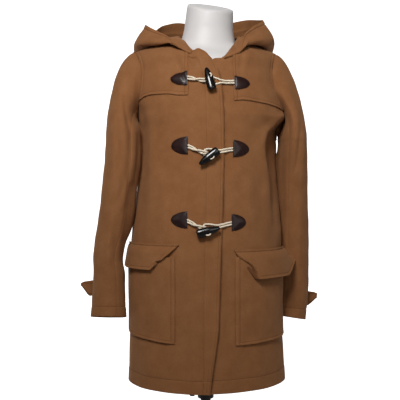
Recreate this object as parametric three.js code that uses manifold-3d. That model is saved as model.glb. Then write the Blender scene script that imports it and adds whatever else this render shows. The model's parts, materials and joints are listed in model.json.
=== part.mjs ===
// A hooded wool duffle coat, buttoned with toggles, on a limbless dress form with a pole stand.
// Millimetres. +Z is up, the coat's front faces -Y, +X is to the viewer's right as they face it.
// The origin is the middle of the stand's underside, on the floor.
import * as THREE from "three";
import Module from "manifold-3d";

const wasm = await Module();
wasm.setup();

// Cloth
const WALL = 2.8; // thickness of the wool melton
const SEAM = 0.3; // gap between two pieces at a seam
const LAYER_GAP = 1.0; // air between the two fronts where they overlap
const REST_GAP = 0.9; // under a piece that lies on a curved panel, from flat facet to flat facet
const OVER_LIFT = WALL + LAYER_GAP; // how far the upper front lies outside the lower one

// Heights of the coat
const HEM_Z = 300;
const ARMPIT_Z = 945;
const UPPER_SPAN = 100; // "v" runs on by this much from the armpit to the shoulder seam
const V_TOP = ARMPIT_Z + UPPER_SPAN;
const YOKE_Z = 987;
const YOKE_DROP = 11; // how much lower the yoke's edge is at the armhole
const POCKET = { bottom: 408, top: 610 };
const FLAP = { top: 640, bottom: 580 };

// Toggles, cords and leather
const TOGGLE_LENGTH = 55;
const CORD_R = 2.3;
const PATCH = { length: 37, thick: 2 };

// Dress form and stand
const POLE_RADIUS = 12.5;
const BASE = { radius: 155, thick: 10 };
const FORM_BOTTOM = 436;
const COLLAR = { z: 250, height: 26, radius: 20 };

const WOOL = 0x8b5e3a;
const LEATHER = 0x2e1a1a;
const HORN = 0x1a1413;
const CORD = 0xd8c8b0;
const FORM = 0xdcd8d6;
const BLACK = 0x141416;

const group = new THREE.Group();
const V = (x, y, z) => new THREE.Vector3(x, y, z);
const clamp01 = (x) => Math.min(1, Math.max(0, x));
const smooth = (a, b, x) => {
  const t = clamp01((x - a) / (b - a));
  return t * t * (3 - 2 * t);
};
const steps = (from, to, count) =>
  Array.from({ length: count + 1 }, (_, i) => from + ((to - from) * i) / count);

// A table of named columns, read at any height by a smooth curve that never overshoots its rows
function table(names, rows) {
  const keys = names.split(" ");
  const x = rows.map((row) => row[0]);
  const columns = keys.slice(1).map((_, c) => {
    const y = rows.map((row) => row[c + 1]);
    const slope = x.slice(1).map((_, i) => (y[i + 1] - y[i]) / (x[i + 1] - x[i]));
    const tangent = y.map((_, i) => {
      if (i === 0) return slope[0];
      if (i === y.length - 1) return slope[i - 1];
      if (slope[i - 1] * slope[i] <= 0) return 0;
      return (2 * slope[i - 1] * slope[i]) / (slope[i - 1] + slope[i]);
    });
    return { y, tangent };
  });
  return (at) => {
    let i = 0;
    while (i < x.length - 2 && at > x[i + 1]) i++;
    const h = x[i + 1] - x[i];
    const t = clamp01((at - x[i]) / h);
    const out = {};
    columns.forEach(({ y, tangent }, c) => {
      out[keys[c + 1]] =
        y[i] * (1 + 2 * t) * (1 - t) ** 2 +
        tangent[i] * h * t * (1 - t) ** 2 +
        y[i + 1] * t * t * (3 - 2 * t) +
        tangent[i + 1] * h * t * t * (t - 1);
    });
    return out;
  };
}

// The body below the armpit, level by level: half width to each side, where the side seam lies,
// depth of the front and of the back, and how far the middle of the front is turned aside
const bodyTable = table("z left right seam front back turned", [
  [300, 191, 199, 5, 146, 140, -9],
  [340, 190, 197, 6, 145, 138, -9],
  [410, 189, 192, 8, 143, 132, -9],
  [470, 188, 190, 10, 141, 128, -9],
  [560, 189, 191, 12, 138, 124, -8],
  [640, 186, 189, 14, 135, 118, -6],
  [700, 180, 186, 16, 131, 110, -3],
  [780, 169, 180, 18, 126, 104, 0],
  [830, 164, 176, 19, 123, 106, 0],
  [880, 160, 172, 20, 121, 111, 0],
  [945, 161, 167, 20, 119, 117, 0],
]);

// Above the armpit, k runs from 0 at the armpit to 1 at the shoulder seam. The inner end of a row
// is the centre front and then the neckline, the outer end is the armhole.
const frontUpper = table("k xIn yIn zIn xOut yOut zOut turn", [
  [0.0, 0, -119, 945, 164, 20, 945, 90],
  [0.25, 0, -114, 990, 153, -18, 968, 78],
  [0.5, 0, -105, 1035, 149, -38, 1008, 66],
  [0.7, 0, -94, 1068, 154, -34, 1047, 55],
  [0.85, 38, -84, 1090, 163, -20, 1080, 45],
  [0.93, 59, -47, 1121, 170, -8, 1098, 36],
  [1.0, 75, 5, 1147, 176, 5, 1110, 28],
]);
const backUpper = table("k xIn yIn zIn xOut yOut zOut turn", [
  [0.0, 0, 117, 945, 164, 20, 945, 90],
  [0.25, 0, 121, 990, 159, 46, 968, 78],
  [0.5, 0, 121, 1040, 160, 52, 1010, 66],
  [0.7, 0, 113, 1090, 165, 42, 1055, 55],
  [0.85, 0, 92, 1134, 171, 24, 1088, 45],
  [0.93, 43, 66, 1148, 174, 14, 1101, 36],
  [1.0, 75, 5, 1147, 176, 5, 1110, 28],
]);

const ARMPIT_ASKEW = 3; // the coat sits this much to the viewer's right at the armpits
const NECK_ASKEW = 7; // and its neck opening this much

// One point of the coat's body: s runs from the centre (0) to the side seam or armhole (1),
// v is the height up to the armpit and runs on to V_TOP at the shoulder seam
function bodyPoint(face, side, s, v) {
  let row;
  if (v <= ARMPIT_Z) {
    const level = bodyTable(v);
    const half = side < 0 ? level.left : level.right;
    const depth = face === "front" ? -level.front : level.back;
    const middle = face === "front" ? level.turned * side : 0;
    row = { xIn: middle, yIn: depth, zIn: v, xOut: half, yOut: level.seam, zOut: v, turn: 90 };
  } else {
    const k = (v - ARMPIT_Z) / UPPER_SPAN;
    row = (face === "front" ? frontUpper : backUpper)(k);
    row.xOut += side * ARMPIT_ASKEW * (1 - smooth(0, 0.5, k));
    row.xIn += side * NECK_ASKEW * smooth(0.75, 1, k);
  }
  const turn = THREE.MathUtils.degToRad(row.turn);
  const across = Math.sin(s * turn) / Math.sin(turn);
  const round = (1 - Math.cos(s * turn)) / (1 - Math.cos(turn));
  return V(
    side * (row.xIn + (row.xOut - row.xIn) * across),
    row.yIn + (row.yOut - row.yIn) * round,
    row.zIn + (row.zOut - row.zIn) * Math.abs(s),
  );
}

const SHOULDER_NORMAL = V(0.33, 0, 0.944);
function bodyNormal(face, side, s, v) {
  const ds = 0.004;
  const dv = 1;
  const low = Math.max(v - dv, HEM_Z);
  const high = Math.min(v + dv, V_TOP);
  const along = bodyPoint(face, side, s + ds, v).sub(bodyPoint(face, side, s - ds, v));
  const up = bodyPoint(face, side, s, high).sub(bodyPoint(face, side, s, low));
  const normal = along.cross(up).normalize();
  normal.multiplyScalar(face === "front" ? side : -side);
  const atShoulder = smooth(V_TOP - 14, V_TOP, v);
  const seamNormal = V(side * SHOULDER_NORMAL.x, 0, SHOULDER_NORMAL.z);
  return normal.lerp(seamNormal, atShoulder).normalize();
}
function bodySurface(face, side, s, v, lift) {
  const normal = bodyNormal(face, side, s, v);
  return { point: bodyPoint(face, side, s, v).addScaledVector(normal, lift), normal };
}

// Points round a circle, without the last one that would repeat the first
const circle = (sides, pointAt) =>
  steps(0, 2 * Math.PI, sides).slice(1).map((angle) => pointAt(Math.cos(angle), Math.sin(angle)));

// Only positions are kept, so that shared corners merge
function bare(geometry) {
  geometry.deleteAttribute("normal");
  geometry.deleteAttribute("uv");
  return geometry;
}

// Closed solids
function closedMesh(name, points, triangles, colour, roughness = 0.9, metalness = 0) {
  let volume = 0;
  for (const [a, b, c] of triangles)
    volume += points[a].dot(new THREE.Vector3().crossVectors(points[b], points[c]));
  const index = volume < 0 ? triangles.map(([a, b, c]) => [a, c, b]) : triangles;
  const geometry = new THREE.BufferGeometry();
  const flat = points.flatMap((p) => [p.x, p.y, p.z]);
  geometry.setAttribute("position", new THREE.Float32BufferAttribute(flat, 3));
  geometry.setIndex(index.flat());
  geometry.computeVertexNormals();
  return addMesh(name, geometry, colour, roughness, metalness);
}

function addMesh(name, geometry, colour, roughness, metalness) {
  const material = new THREE.MeshStandardMaterial({ color: colour, roughness, metalness });
  const mesh = new THREE.Mesh(geometry, material);
  mesh.name = name;
  group.add(mesh);
  return mesh;
}

// A cloth wall: its surface gives each outer point with the normal that points out of the garment,
// and the inner points lie one thickness behind
function clothWall(name, surface, us, vs, thickness, colour = WOOL) {
  const outer = [];
  const inner = [];
  for (const v of vs)
    for (const u of us) {
      const { point, normal } = surface(u, v);
      outer.push(point);
      inner.push(point.clone().addScaledVector(normal, -thickness));
    }
  return closedMesh(name, [...outer, ...inner], wallFaces(us.length, vs.length), colour);
}

// Gives a surface of bare points its normals, turned outwards by the sign
function withNormals(pointAt, sign, du = 0.01, dv = 0.01) {
  return (u, v) => {
    const along = pointAt(u + du, v).sub(pointAt(u - du, v));
    const up = pointAt(u, v + dv).sub(pointAt(u, v - dv));
    return { point: pointAt(u, v), normal: along.cross(up).normalize().multiplyScalar(sign) };
  };
}

// The triangles of a wall of columns by rows points, its second half being the inner points
function wallFaces(columns, rows) {
  const half = columns * rows;
  const faces = [];
  const quad = (a, b, c, d) => faces.push([a, b, c], [a, c, d]);
  const at = (i, j) => j * columns + i;
  for (let j = 0; j < rows - 1; j++)
    for (let i = 0; i < columns - 1; i++) {
      quad(at(i, j), at(i + 1, j), at(i + 1, j + 1), at(i, j + 1));
      quad(half + at(i, j), half + at(i, j + 1), half + at(i + 1, j + 1), half + at(i + 1, j));
    }
  for (let i = 0; i < columns - 1; i++) {
    quad(at(i, 0), half + at(i, 0), half + at(i + 1, 0), at(i + 1, 0));
    quad(at(i, rows - 1), at(i + 1, rows - 1), half + at(i + 1, rows - 1), half + at(i, rows - 1));
  }
  for (let j = 0; j < rows - 1; j++) {
    quad(at(0, j), at(0, j + 1), half + at(0, j + 1), half + at(0, j));
    const last = columns - 1;
    quad(at(last, j), half + at(last, j), half + at(last, j + 1), at(last, j + 1));
  }
  return faces;
}

// A solid through closed rings of points, shut by a fan at each end
function loft(rings) {
  const count = rings[0].length;
  const points = rings.flat();
  const faces = [];
  for (let j = 0; j < rings.length - 1; j++)
    for (let i = 0; i < count; i++) {
      const a = j * count + i;
      const b = j * count + ((i + 1) % count);
      faces.push([a, b, b + count], [a, b + count, a + count]);
    }
  for (const [j, flip] of [[0, true], [rings.length - 1, false]]) {
    const middle = points.length;
    const ring = rings[j];
    points.push(ring.reduce((sum, p) => sum.add(p), V(0, 0, 0)).divideScalar(count));
    for (let i = 0; i < count; i++) {
      const a = j * count + i;
      const b = j * count + ((i + 1) % count);
      faces.push(flip ? [middle, b, a] : [middle, a, b]);
    }
  }
  return { points, faces };
}
const loftMesh = (name, rings, colour, roughness, metalness) => {
  const { points, faces } = loft(rings);
  return closedMesh(name, points, faces, colour, roughness, metalness);
};

// s and v of the front's point with this x and this height
function onFront(side, x, z) {
  let s = clamp01((side * x) / 170) * 0.6;
  let v = Math.min(z, V_TOP);
  for (let i = 0; i < 40; i++) {
    const p = bodyPoint("front", side, s, v);
    const ds = 0.01;
    const dv = v > V_TOP - 1 ? -1 : 1;
    const ps = bodyPoint("front", side, s + ds, v);
    const pv = bodyPoint("front", side, s, v + dv);
    const a = (ps.x - p.x) / ds;
    const b = (pv.x - p.x) / dv;
    const c = (ps.z - p.z) / ds;
    const d = (pv.z - p.z) / dv;
    const det = a * d - b * c;
    const ex = x - p.x;
    const ez = z - p.z;
    s += THREE.MathUtils.clamp((ex * d - ez * b) / det, -0.2, 0.2);
    v = THREE.MathUtils.clamp(v + (ez * a - ex * c) / det, HEM_Z, V_TOP);
  }
  return { s, v };
}

// Fronts and back

// x of the upper front's free edge, which swings aside towards the hem
const overEdge = table("z x", [
  [300, -1],
  [340, 4],
  [397, 12],
  [442, 18],
  [512, 21],
  [603, 24],
  [674, 28],
  [760, 31],
  [875, 34],
  [968, 32],
  [1018, 28],
  [1050, 20],
  [1068, 10],
]);
const UNDER_EDGE_X = -26; // the lower front's hidden edge
const FADE_FROM = 32; // the upper front comes back to the side panels' depth between these
const FADE_TO = 74;
const overLift = (s, v) =>
  OVER_LIFT * (1 - smooth(FADE_FROM, FADE_TO, -bodyPoint("front", -1, s, v).x));
const frontLift = (side, s, v) => (side < 0 ? overLift(s, v) : 0);

const SHOULDER_GAP = 0.8; // between a panel's last row and the shoulder seam
// Rows of the body panels: heights below the armpit, then up to the shoulder
const BODY_ROWS = [
  ...[300, 345, 395, 450, 510, 570, 630, 690, 745, 800, 855, 905, 945],
  ...[0.12, 0.25, 0.38, 0.5, 0.6, 0.7, 0.775, 0.85, 0.9, 0.95].map((k) => ARMPIT_Z + UPPER_SPAN * k),
  V_TOP - SHOULDER_GAP,
];
const FRONT_COLUMNS = 11;
const BACK_COLUMNS = 9;
const END_S = 0.9985; // the side seam's gap, as a share of the panel's width
const CENTRE_BACK_S = 0.0015;
const NECK_V = ARMPIT_Z + UPPER_SPAN * 0.7; // the row at the bottom of the front neckline

// s of a front's free edge at each height, once it runs along x = edge(z)
function edgeS(side, v, edge) {
  const wanted = (z) => (typeof edge === "number" ? edge : edge(z).x);
  let s = 0;
  for (let i = 0; i < 30; i++) {
    const p = bodyPoint("front", side, s, v);
    const step = bodyPoint("front", side, s + 0.01, v).x - p.x;
    s += (0.01 * (wanted(p.z) - p.x)) / step;
  }
  return s;
}
function frontPanel(name, side, edge) {
  const surface = (u, v) => {
    const k = (v - ARMPIT_Z) / UPPER_SPAN;
    const atEdge = Math.min(0, edgeS(side, Math.min(v, NECK_V), edge));
    const overlap = atEdge * (1 - smooth(0.7, 0.74, k));
    const s = overlap + (END_S - overlap) * u;
    return bodySurface("front", side, s, v, frontLift(side, s, v));
  };
  clothWall(name, surface, steps(0, 1, FRONT_COLUMNS), BODY_ROWS, WALL);
}
frontPanel("front_over", -1, overEdge);
frontPanel("front_under", 1, UNDER_EDGE_X);

for (const side of [-1, 1]) {
  const surface = (s, v) => bodySurface("back", side, s, v, 0);
  const name = side < 0 ? "back_left" : "back_right";
  clothWall(name, surface, steps(CENTRE_BACK_S, END_S, BACK_COLUMNS), BODY_ROWS, WALL);
}

// A piece sewn on a front: place(p, q) gives height, either x or s, and any further lift
function onFrontPiece(name, side, place, us, vs, thickness, colour = WOOL) {
  const surface = (p, q) => {
    const at = place(p, q);
    const { s, v } = at.s === undefined ? onFront(side, at.x, at.z) : { s: at.s, v: at.v ?? at.z };
    const lift = frontLift(side, s, v) + REST_GAP + thickness + (at.lift ?? 0);
    return bodySurface("front", side, s, v, lift);
  };
  clothWall(name, surface, us, vs, thickness, colour);
}

// Shoulder yokes, sewn over the fronts
const YOKE_THICK = 2.2;
const YOKE_INNER = { left: 48, right: 60 };
const YOKE_OUTER_S = 0.96;
const YOKE_REACH = 150; // how far from the centre its lower edge meets the armhole
// The yoke's rows are the front's own, so that its facets lie flat on the front's
const YOKE_ROWS = [0, ...BODY_ROWS.filter((v) => v > ARMPIT_Z + 36 && v < V_TOP - 4)];
for (const side of [-1, 1]) {
  const inner = side < 0 ? YOKE_INNER.left : YOKE_INNER.right;
  const place = (p, row) => {
    const low = onFront(side, side * (inner + (YOKE_REACH - inner) * p), YOKE_Z - YOKE_DROP * p * p);
    const v = Math.max(row, low.v);
    const innerS = Math.max(0.06, edgeS(side, v, side * inner));
    return { s: innerS + (YOKE_OUTER_S - innerS) * p, v };
  };
  onFrontPiece(side < 0 ? "yoke_left" : "yoke_right", side, place, steps(0, 1, 9), YOKE_ROWS, YOKE_THICK);
}

// Patch pockets, full in the middle, sewn down at the sides and along the bottom
const POCKET_OUTER_S = 0.955;
const POCKET_FULLNESS = 6;
const POCKET_DROP = 4; // how much lower the pocket's inner corner is
for (const { name, side, inner } of [
  { name: "pocket_left", side: -1, inner: 79 },
  { name: "pocket_right", side: 1, inner: 60 },
]) {
  const place = (p, q) => {
    const z = POCKET.bottom + POCKET_DROP * p + (POCKET.top - POCKET.bottom) * q;
    const start = onFront(side, side * inner, z).s;
    const full = Math.sin(Math.PI * p) ** 0.7 * smooth(0, 0.35, q) * (0.6 + 0.4 * q);
    return { s: start + (POCKET_OUTER_S - start) * p, z, lift: POCKET_FULLNESS * full };
  };
  onFrontPiece(name, side, place, steps(0, 1, 8), steps(0, 1, 6), WALL);
}

// Pocket flaps: their free edge stands off, and the corner towards the side most of all
const flaps = [
  { name: "flap_left", side: -1, inner: 70, slant: 48, drop: 2, outerKick: 2, innerKick: 7, end: 0.93 },
  { name: "flap_right", side: 1, inner: 57, slant: 44, drop: -6, outerKick: 24, innerKick: 12, end: 0.97 },
];
const FLAP_CLEAR = 7.6; // over the pocket's fullness
for (const { name, side, inner, slant, drop, outerKick, innerKick, end } of flaps) {
  const place = (p, q) => {
    const down = 1 - q;
    const z = FLAP.top - (FLAP.top - FLAP.bottom - drop) * down;
    const start = onFront(side, side * (inner + slant * smooth(0.05, 1, down)), z).s;
    const full = Math.sin(Math.PI * clamp01(p)) ** 0.7;
    const stand = (WALL + SEAM) * smooth(0, 0.25, down) + FLAP_CLEAR * smooth(0, 0.4, down) * full;
    const kick = down ** 1.6 * (outerKick * p ** 3 + innerKick * (1 - p) ** 3 + 3.5);
    return { s: start + (end - start) * p, z, lift: stand + kick };
  };
  onFrontPiece(name, side, place, steps(0, 1, 8), steps(0, 1, 5), WALL);
}

// Sleeves, each cut in an upper and an under piece
// Sections of a sleeve below the upper arm: middle, half width across and half depth
const sleeveTables = {
  "-1": table("z x y wide deep", [
    [457, -239, -25, 43, 42],
    [520, -238, -26, 40, 43],
    [560, -237, -27, 38, 45],
    [597, -240, -28, 35.5, 47],
    [635, -235, -29, 37.5, 48],
    [670, -226, -30, 41, 50],
    [712, -219, -32, 42.5, 52],
    [775, -212, -32, 42.5, 56],
    [845, -204, -30, 43.5, 60],
    [900, -203, -25, 42, 64],
  ]),
  1: table("z x y wide deep", [
    [437, 223, 60, 42, 43],
    [535, 231, 55, 41, 44],
    [590, 230, 50, 41, 46],
    [694, 228, 41, 40, 50],
    [735, 226, 36, 39, 53],
    [796, 224, 28, 38, 58],
    [845, 222, 20, 37, 63],
    [893, 219, 12, 36.5, 68],
  ]),
};
const SLEEVES = {
  "-1": { top: 900, cuff: 457, frontRise: 9, outerDrop: -1 },
  1: { top: 893, cuff: 437, frontRise: 5, outerDrop: 7 },
};
const SLEEVE_GAP = 0.9; // between the armhole and the sleeve's edge
const CAP_SHARE = 0.34; // the share of "w" that lies between armhole and upper arm

function armholePoint(side, angle) {
  const k = (1 - Math.cos(angle)) / 2;
  const face = Math.sin(angle) >= 0 ? "front" : "back";
  return bodyPoint(face, side, 1, ARMPIT_Z + UPPER_SPAN * k);
}
function sleeveSection(side, z, angle) {
  const { x, y, wide, deep } = sleeveTables[side](z);
  const { cuff, frontRise, outerDrop } = SLEEVES[side];
  const nearCuff = 1 - smooth(cuff, cuff + 90, z);
  const tilt = frontRise * Math.sin(angle) + outerDrop * Math.cos(angle);
  return V(x - side * wide * Math.cos(angle), y - deep * Math.sin(angle), z + tilt * nearCuff);
}
// angle 0 faces the body, 90 degrees the front, 180 degrees outwards
function sleevePoint(side, angle, w) {
  const { top, cuff } = SLEEVES[side];
  if (w >= CAP_SHARE) {
    const z = top + ((cuff - top) * (w - CAP_SHARE)) / (1 - CAP_SHARE);
    return sleeveSection(side, z, angle);
  }
  const t = w / CAP_SHARE;
  const outward = (1 - Math.cos(angle)) / 2;
  const start = armholePoint(side, angle).add(V(side * SLEEVE_GAP, 0, 0));
  const end = sleeveSection(side, top, angle);
  const span = start.distanceTo(end);
  const leave = V(side * (14 + 116 * outward), -34 * Math.sin(angle), -16 - 14 * outward);
  const arrive = V(side * 12 * outward, 0, -span);
  const h00 = (1 + 2 * t) * (1 - t) ** 2;
  const h10 = t * (1 - t) ** 2;
  const h01 = t * t * (3 - 2 * t);
  const h11 = t * t * (t - 1);
  return start
    .multiplyScalar(h00)
    .addScaledVector(leave, h10)
    .addScaledVector(end, h01)
    .addScaledVector(arrive, h11);
}
const SEAM_ANGLE = THREE.MathUtils.degToRad(58); // the two sleeve seams, either side of the body
const SEAM_HALF = 0.004; // half the seams' gap, as an angle
const SLEEVE_ROWS = [
  ...[0, 0.06, 0.12, 0.18, 0.25, 0.34],
  ...[0.42, 0.5, 0.58, 0.66, 0.74, 0.79, 0.84, 0.89, 0.945, 1],
];
for (const side of [-1, 1]) {
  const surface = withNormals((angle, w) => sleevePoint(side, angle, Math.max(w, 0)), -side);
  const upper = steps(SEAM_ANGLE + SEAM_HALF, 2 * Math.PI - SEAM_ANGLE - SEAM_HALF, 15);
  const under = steps(-SEAM_ANGLE + SEAM_HALF, SEAM_ANGLE - SEAM_HALF, 7);
  const name = side < 0 ? "left" : "right";
  for (const [part, angles] of [["upper", upper], ["under", under]])
    clothWall("sleeve_" + part + "_" + name, surface, angles, SLEEVE_ROWS, WALL);
}

// Cuff straps: sewn along the back of the sleeve, the pointed end stands off outwards
const STRAP = { high: 38, thick: 2.6, free: 36, rest: 0.7 };
for (const side of [-1, 1]) {
  const z0 = side < 0 ? 528 : 492;
  const from = THREE.MathUtils.degToRad(288);
  const to = THREE.MathUtils.degToRad(214);
  const pointAt = (p, q) => {
    const onSleeve = 0.6;
    const taper = 1 - 0.42 * smooth(0.84, 1, p);
    const z = z0 + STRAP.high * (q - 0.5) * taper;
    const angle = from + (to - from) * Math.min(1, p / onSleeve);
    const { x, y, wide, deep } = sleeveTables[side](z);
    const out = V(-side * Math.cos(angle) / wide, -Math.sin(angle) / deep, 0).normalize();
    const foot = V(x - side * wide * Math.cos(angle), y - deep * Math.sin(angle), z);
    foot.addScaledVector(out, STRAP.thick + STRAP.rest);
    const free = Math.max(0, p - onSleeve) / (1 - onSleeve);
    return foot.add(V(side * STRAP.free * free, -STRAP.free * 0.28 * free * (1 - free), -5 * free));
  };
  const name = "cuff_strap_" + (side < 0 ? "left" : "right");
  clothWall(name, withNormals(pointAt, -side), steps(0, 1, 9), [0, 0.5, 1], STRAP.thick);
}

// The hood, thrown back: from the neck seam it lies out over the shoulder and down the back,
// rolls round and rises to its open edge. m runs from the hood's front end to the centre back.
const hoodTable = table("m xMid yMid zMid xLow yLow zLow xBelly yBelly zBelly xRim yRim zRim", [
  [0.0, 41, -91, 1092, 45, -93, 1091, 46, -94, 1096, 39, -91, 1101],
  [0.15, 60, -78, 1110, 68, -82, 1106, 73, -80, 1113, 70, -68, 1122],
  [0.27, 74, -55, 1128, 90, -64, 1118, 97, -62, 1125, 87, -53, 1137],
  [0.38, 88, -26, 1142, 122, -42, 1122, 131, -40, 1136, 115, -22, 1162],
  [0.5, 104, 6, 1145, 158, 2, 1124, 172, 2, 1140, 147, 18, 1189],
  [0.62, 104, 48, 1140, 162, 52, 1100, 181, 58, 1132, 151, 62, 1197],
  [0.76, 92, 96, 1112, 132, 122, 1035, 158, 140, 1095, 124, 112, 1203],
  [0.88, 56, 122, 1092, 80, 150, 990, 97, 190, 1075, 76, 141, 1206],
  [1.0, 0, 130, 1080, 0, 160, 962, 0, 208, 1060, 0, 152, 1207],
]);
const HOOD_START_K = 0.85;
function hoodSeam(side, m) {
  const half = 0.5;
  const backEnd = 0.86;
  const onFace = m < half ? "front" : "back";
  const from = m < half ? HOOD_START_K : backEnd;
  const k = 1 - (1 - from) * Math.abs(1 - m / half);
  return bodyPoint(onFace, side, 0, ARMPIT_Z + UPPER_SPAN * k);
}
const HOOD_RISE = 4.2; // the seam's edge stands this far above the neckline
const HOOD_ASIDE = 1.5; // and this far outside it
function hoodPoint(side, m, w) {
  const row = hoodTable(m);
  const askew = 9 * side * Math.sin(Math.PI * Math.min(1, m * 1.1));
  const frontDrop = -7 * side * (1 - smooth(0, 0.2, m));
  const seam = hoodSeam(side, m).add(V(side * HOOD_ASIDE, 0, 0));
  const toBack = smooth(0.8, 1, m); // at the centre back seam both halves keep to the middle
  const corners = [
    V(seam.x + (side * row.xMid - seam.x) * toBack, seam.y, seam.z + HOOD_RISE + frontDrop * 0.5),
    V(side * row.xMid, row.yMid, row.zMid + frontDrop * 0.7),
    V(side * row.xLow, row.yLow, row.zLow + frontDrop),
    V(side * row.xBelly, row.yBelly, row.zBelly + askew * 0.4 + frontDrop),
    V(side * row.xRim, row.yRim, row.zRim + askew + frontDrop),
  ];
  const curve = new THREE.CatmullRomCurve3(corners, false, "centripetal");
  return curve.getPoint(clamp01(w));
}
const HOOD_WALL = 2.6;
for (const side of [-1, 1]) {
  const surface = (m, w) => {
    const e = 0.01;
    const along = hoodPoint(side, Math.min(1, m + e), w).sub(hoodPoint(side, Math.max(0, m - e), w));
    const up = hoodPoint(side, m, Math.min(1, w + e)).sub(hoodPoint(side, m, Math.max(0, w - e)));
    const normal = along.cross(up).normalize().multiplyScalar(side);
    if (m > 0.97) normal.setX(0).normalize();
    return { point: hoodPoint(side, m, w), normal };
  };
  const ms = [0, 0.08, 0.16, 0.24, 0.32, 0.4, 0.48, 0.56, 0.64, 0.72, 0.8, 0.88, 0.94, 0.9996];
  clothWall("hood_" + (side < 0 ? "left" : "right"), surface, ms, steps(0, 1, 11), HOOD_WALL);
}

// Leather patches that hold the toggle cords
// Closures from the top: height, each patch's straight edge, offset in height and own height.
// The first pair lies on the yokes.
const ON_YOKE = YOKE_THICK + REST_GAP;
const closures = [
  { z: 1018, left: -52, leftUp: 1, leftHigh: 33, right: 61, rightUp: -9, rightHigh: 32, on: ON_YOKE },
  { z: 861, left: -52, leftUp: -1, leftHigh: 41, right: 55, rightUp: -2, rightHigh: 40, on: 0 },
  { z: 692, left: -52, leftUp: -1, leftHigh: 39, right: 51, rightUp: -2, rightHigh: 39, on: 0 },
];
// Where each closure's cords meet under the toggle
const meets = [
  { x: 3, up: -2 },
  { x: -4, up: -15 },
  { x: -8, up: -18 },
];
function patch(name, side, base, z, high, on) {
  const place = (p, q) => {
    const half = (high / 2) * (0.06 + 0.94 * Math.sqrt(Math.max(0, 1 - p ** 1.9)));
    return { x: base + side * PATCH.length * p, z: z + half * (2 * q - 1), lift: on };
  };
  onFrontPiece(name, side, place, [0, 0.3, 0.6, 0.82, 1], [0, 0.5, 1], PATCH.thick, LEATHER);
}
closures.forEach((row, i) => {
  patch("patch_left_" + (i + 1), -1, row.left, row.z + row.leftUp, row.leftHigh, row.on);
  patch("patch_right_" + (i + 1), 1, row.right, row.z + row.rightUp, row.rightHigh, row.on);
});

// Toggles: tapered horn, given by where the blunt end and the tip lie from the closure's middle,
// and how far off the front's face they lie on their cords
const toggles = [
  { blunt: [9, -26], tip: [-4, 30], off: 13.6 },
  { blunt: [19, -6], tip: [-21, -40], off: 13.2 },
  { blunt: [-29, -29], tip: [23, -14], off: 15.8 },
];
function inFront(x, z, lift) {
  const side = x < overEdge(z).x ? -1 : 1;
  const { s, v } = onFront(side, x, z);
  return bodySurface("front", side, s, v, frontLift(side, s, v) + lift).point;
}
const toggleShape = table("t r", [
  [0, 8],
  [0.05, 9.8],
  [0.2, 10.6],
  [0.5, 10.2],
  [0.75, 7.6],
  [0.93, 4.4],
  [1, 2.2],
]);
const TOGGLE_FLAT = 0.72; // its depth against its width
const TOGGLE_BEND = 2;
toggles.forEach(({ blunt, tip, off }, i) => {
  const { z } = closures[i];
  const from = inFront(blunt[0], z + blunt[1], off);
  const to = inFront(tip[0], z + tip[1], off);
  const axis = to.clone().sub(from).normalize();
  const across = axis.clone().cross(V(0, 1, 0)).normalize();
  const outward = across.clone().cross(axis).normalize();
  const rings = [0, 0.05, 0.2, 0.5, 0.75, 0.93, 1].map((t) => {
    const middle = from.clone().addScaledVector(axis, TOGGLE_LENGTH * t);
    middle.addScaledVector(outward, -TOGGLE_BEND * t * t);
    const r = toggleShape(t).r;
    return circle(10, (cos, sin) =>
      middle.clone().addScaledVector(across, r * cos).addScaledVector(outward, TOGGLE_FLAT * r * sin));
  });
  loftMesh("toggle_" + (i + 1), rings, HORN, 0.25);
});

// Cords: a twisted pair from the left patch to the toggle, a flat loop from the right patch
function tube(name, points, stepsAlong) {
  const curve = new THREE.CatmullRomCurve3(points, false, "centripetal");
  const section = new THREE.Shape(circle(6, (cos, sin) => new THREE.Vector2(CORD_R * cos, CORD_R * sin)));
  const options = { steps: stepsAlong, bevelEnabled: false, extrudePath: curve };
  const geometry = new THREE.ExtrudeGeometry(section, options);
  return addMesh(name, bare(geometry), CORD, 0.85, 0);
}
const PAIR_R = CORD_R + 0.45; // each strand's distance from the middle of the twisted pair
const LOOP_R = CORD_R + 0.5; // half the right loop's width, strand to strand
const CORD_REST = CORD_R + 0.5; // height of a cord that lies on the cloth
const PATCH_END = 0.7; // from a patch's straight edge to the cord's end
const TO_MEET = 5; // from where the cords meet to the end of the pair, and to that of the loop
closures.forEach((row, i) => {
  const meet = meets[i];
  const leftStart = row.left + PATCH_END;
  const leftEnd = meet.x - TO_MEET;
  for (const strand of [0, 1]) {
    const points = steps(0, 1, 12).map((t) => {
      const turn = Math.PI * (strand + 3 * t + 0.5);
      const z = row.z + row.leftUp + (meet.up - row.leftUp) * smooth(-0.3, 1, t) + PAIR_R * Math.sin(turn);
      const under = row.on * (1 - smooth(0, 0.5, t)) + PAIR_R * (1 - smooth(0.85, 1.05, t));
      return inFront(leftStart + (leftEnd - leftStart) * t, z, CORD_REST + under + PAIR_R * Math.cos(turn));
    });
    tube("cord_left_" + (i + 1) + (strand ? "b" : "a"), points, 14);
  }
  const start = row.right - PATCH_END;
  const bight = meet.x + TO_MEET;
  const edge = overEdge(row.z).x;
  const strand = (share, across) => {
    const x = start + (bight - start) * share;
    const overStep = x > edge ? OVER_LIFT * (1 - smooth(edge, edge + 14, x)) : 0;
    const z = row.z + row.rightUp + (meet.up - row.rightUp) * smooth(-0.3, 1, share) + across;
    return inFront(x, z, CORD_REST + row.on * (1 - smooth(0, 0.4, share)) + overStep);
  };
  const shares = steps(0, 0.9, 5);
  const upper = shares.map((share) => strand(share, LOOP_R));
  const lower = shares.map((share) => strand(share, -LOOP_R)).reverse();
  tube("cord_right_" + (i + 1), [...upper, strand(1, 0), ...lower], 30);
});

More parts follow.
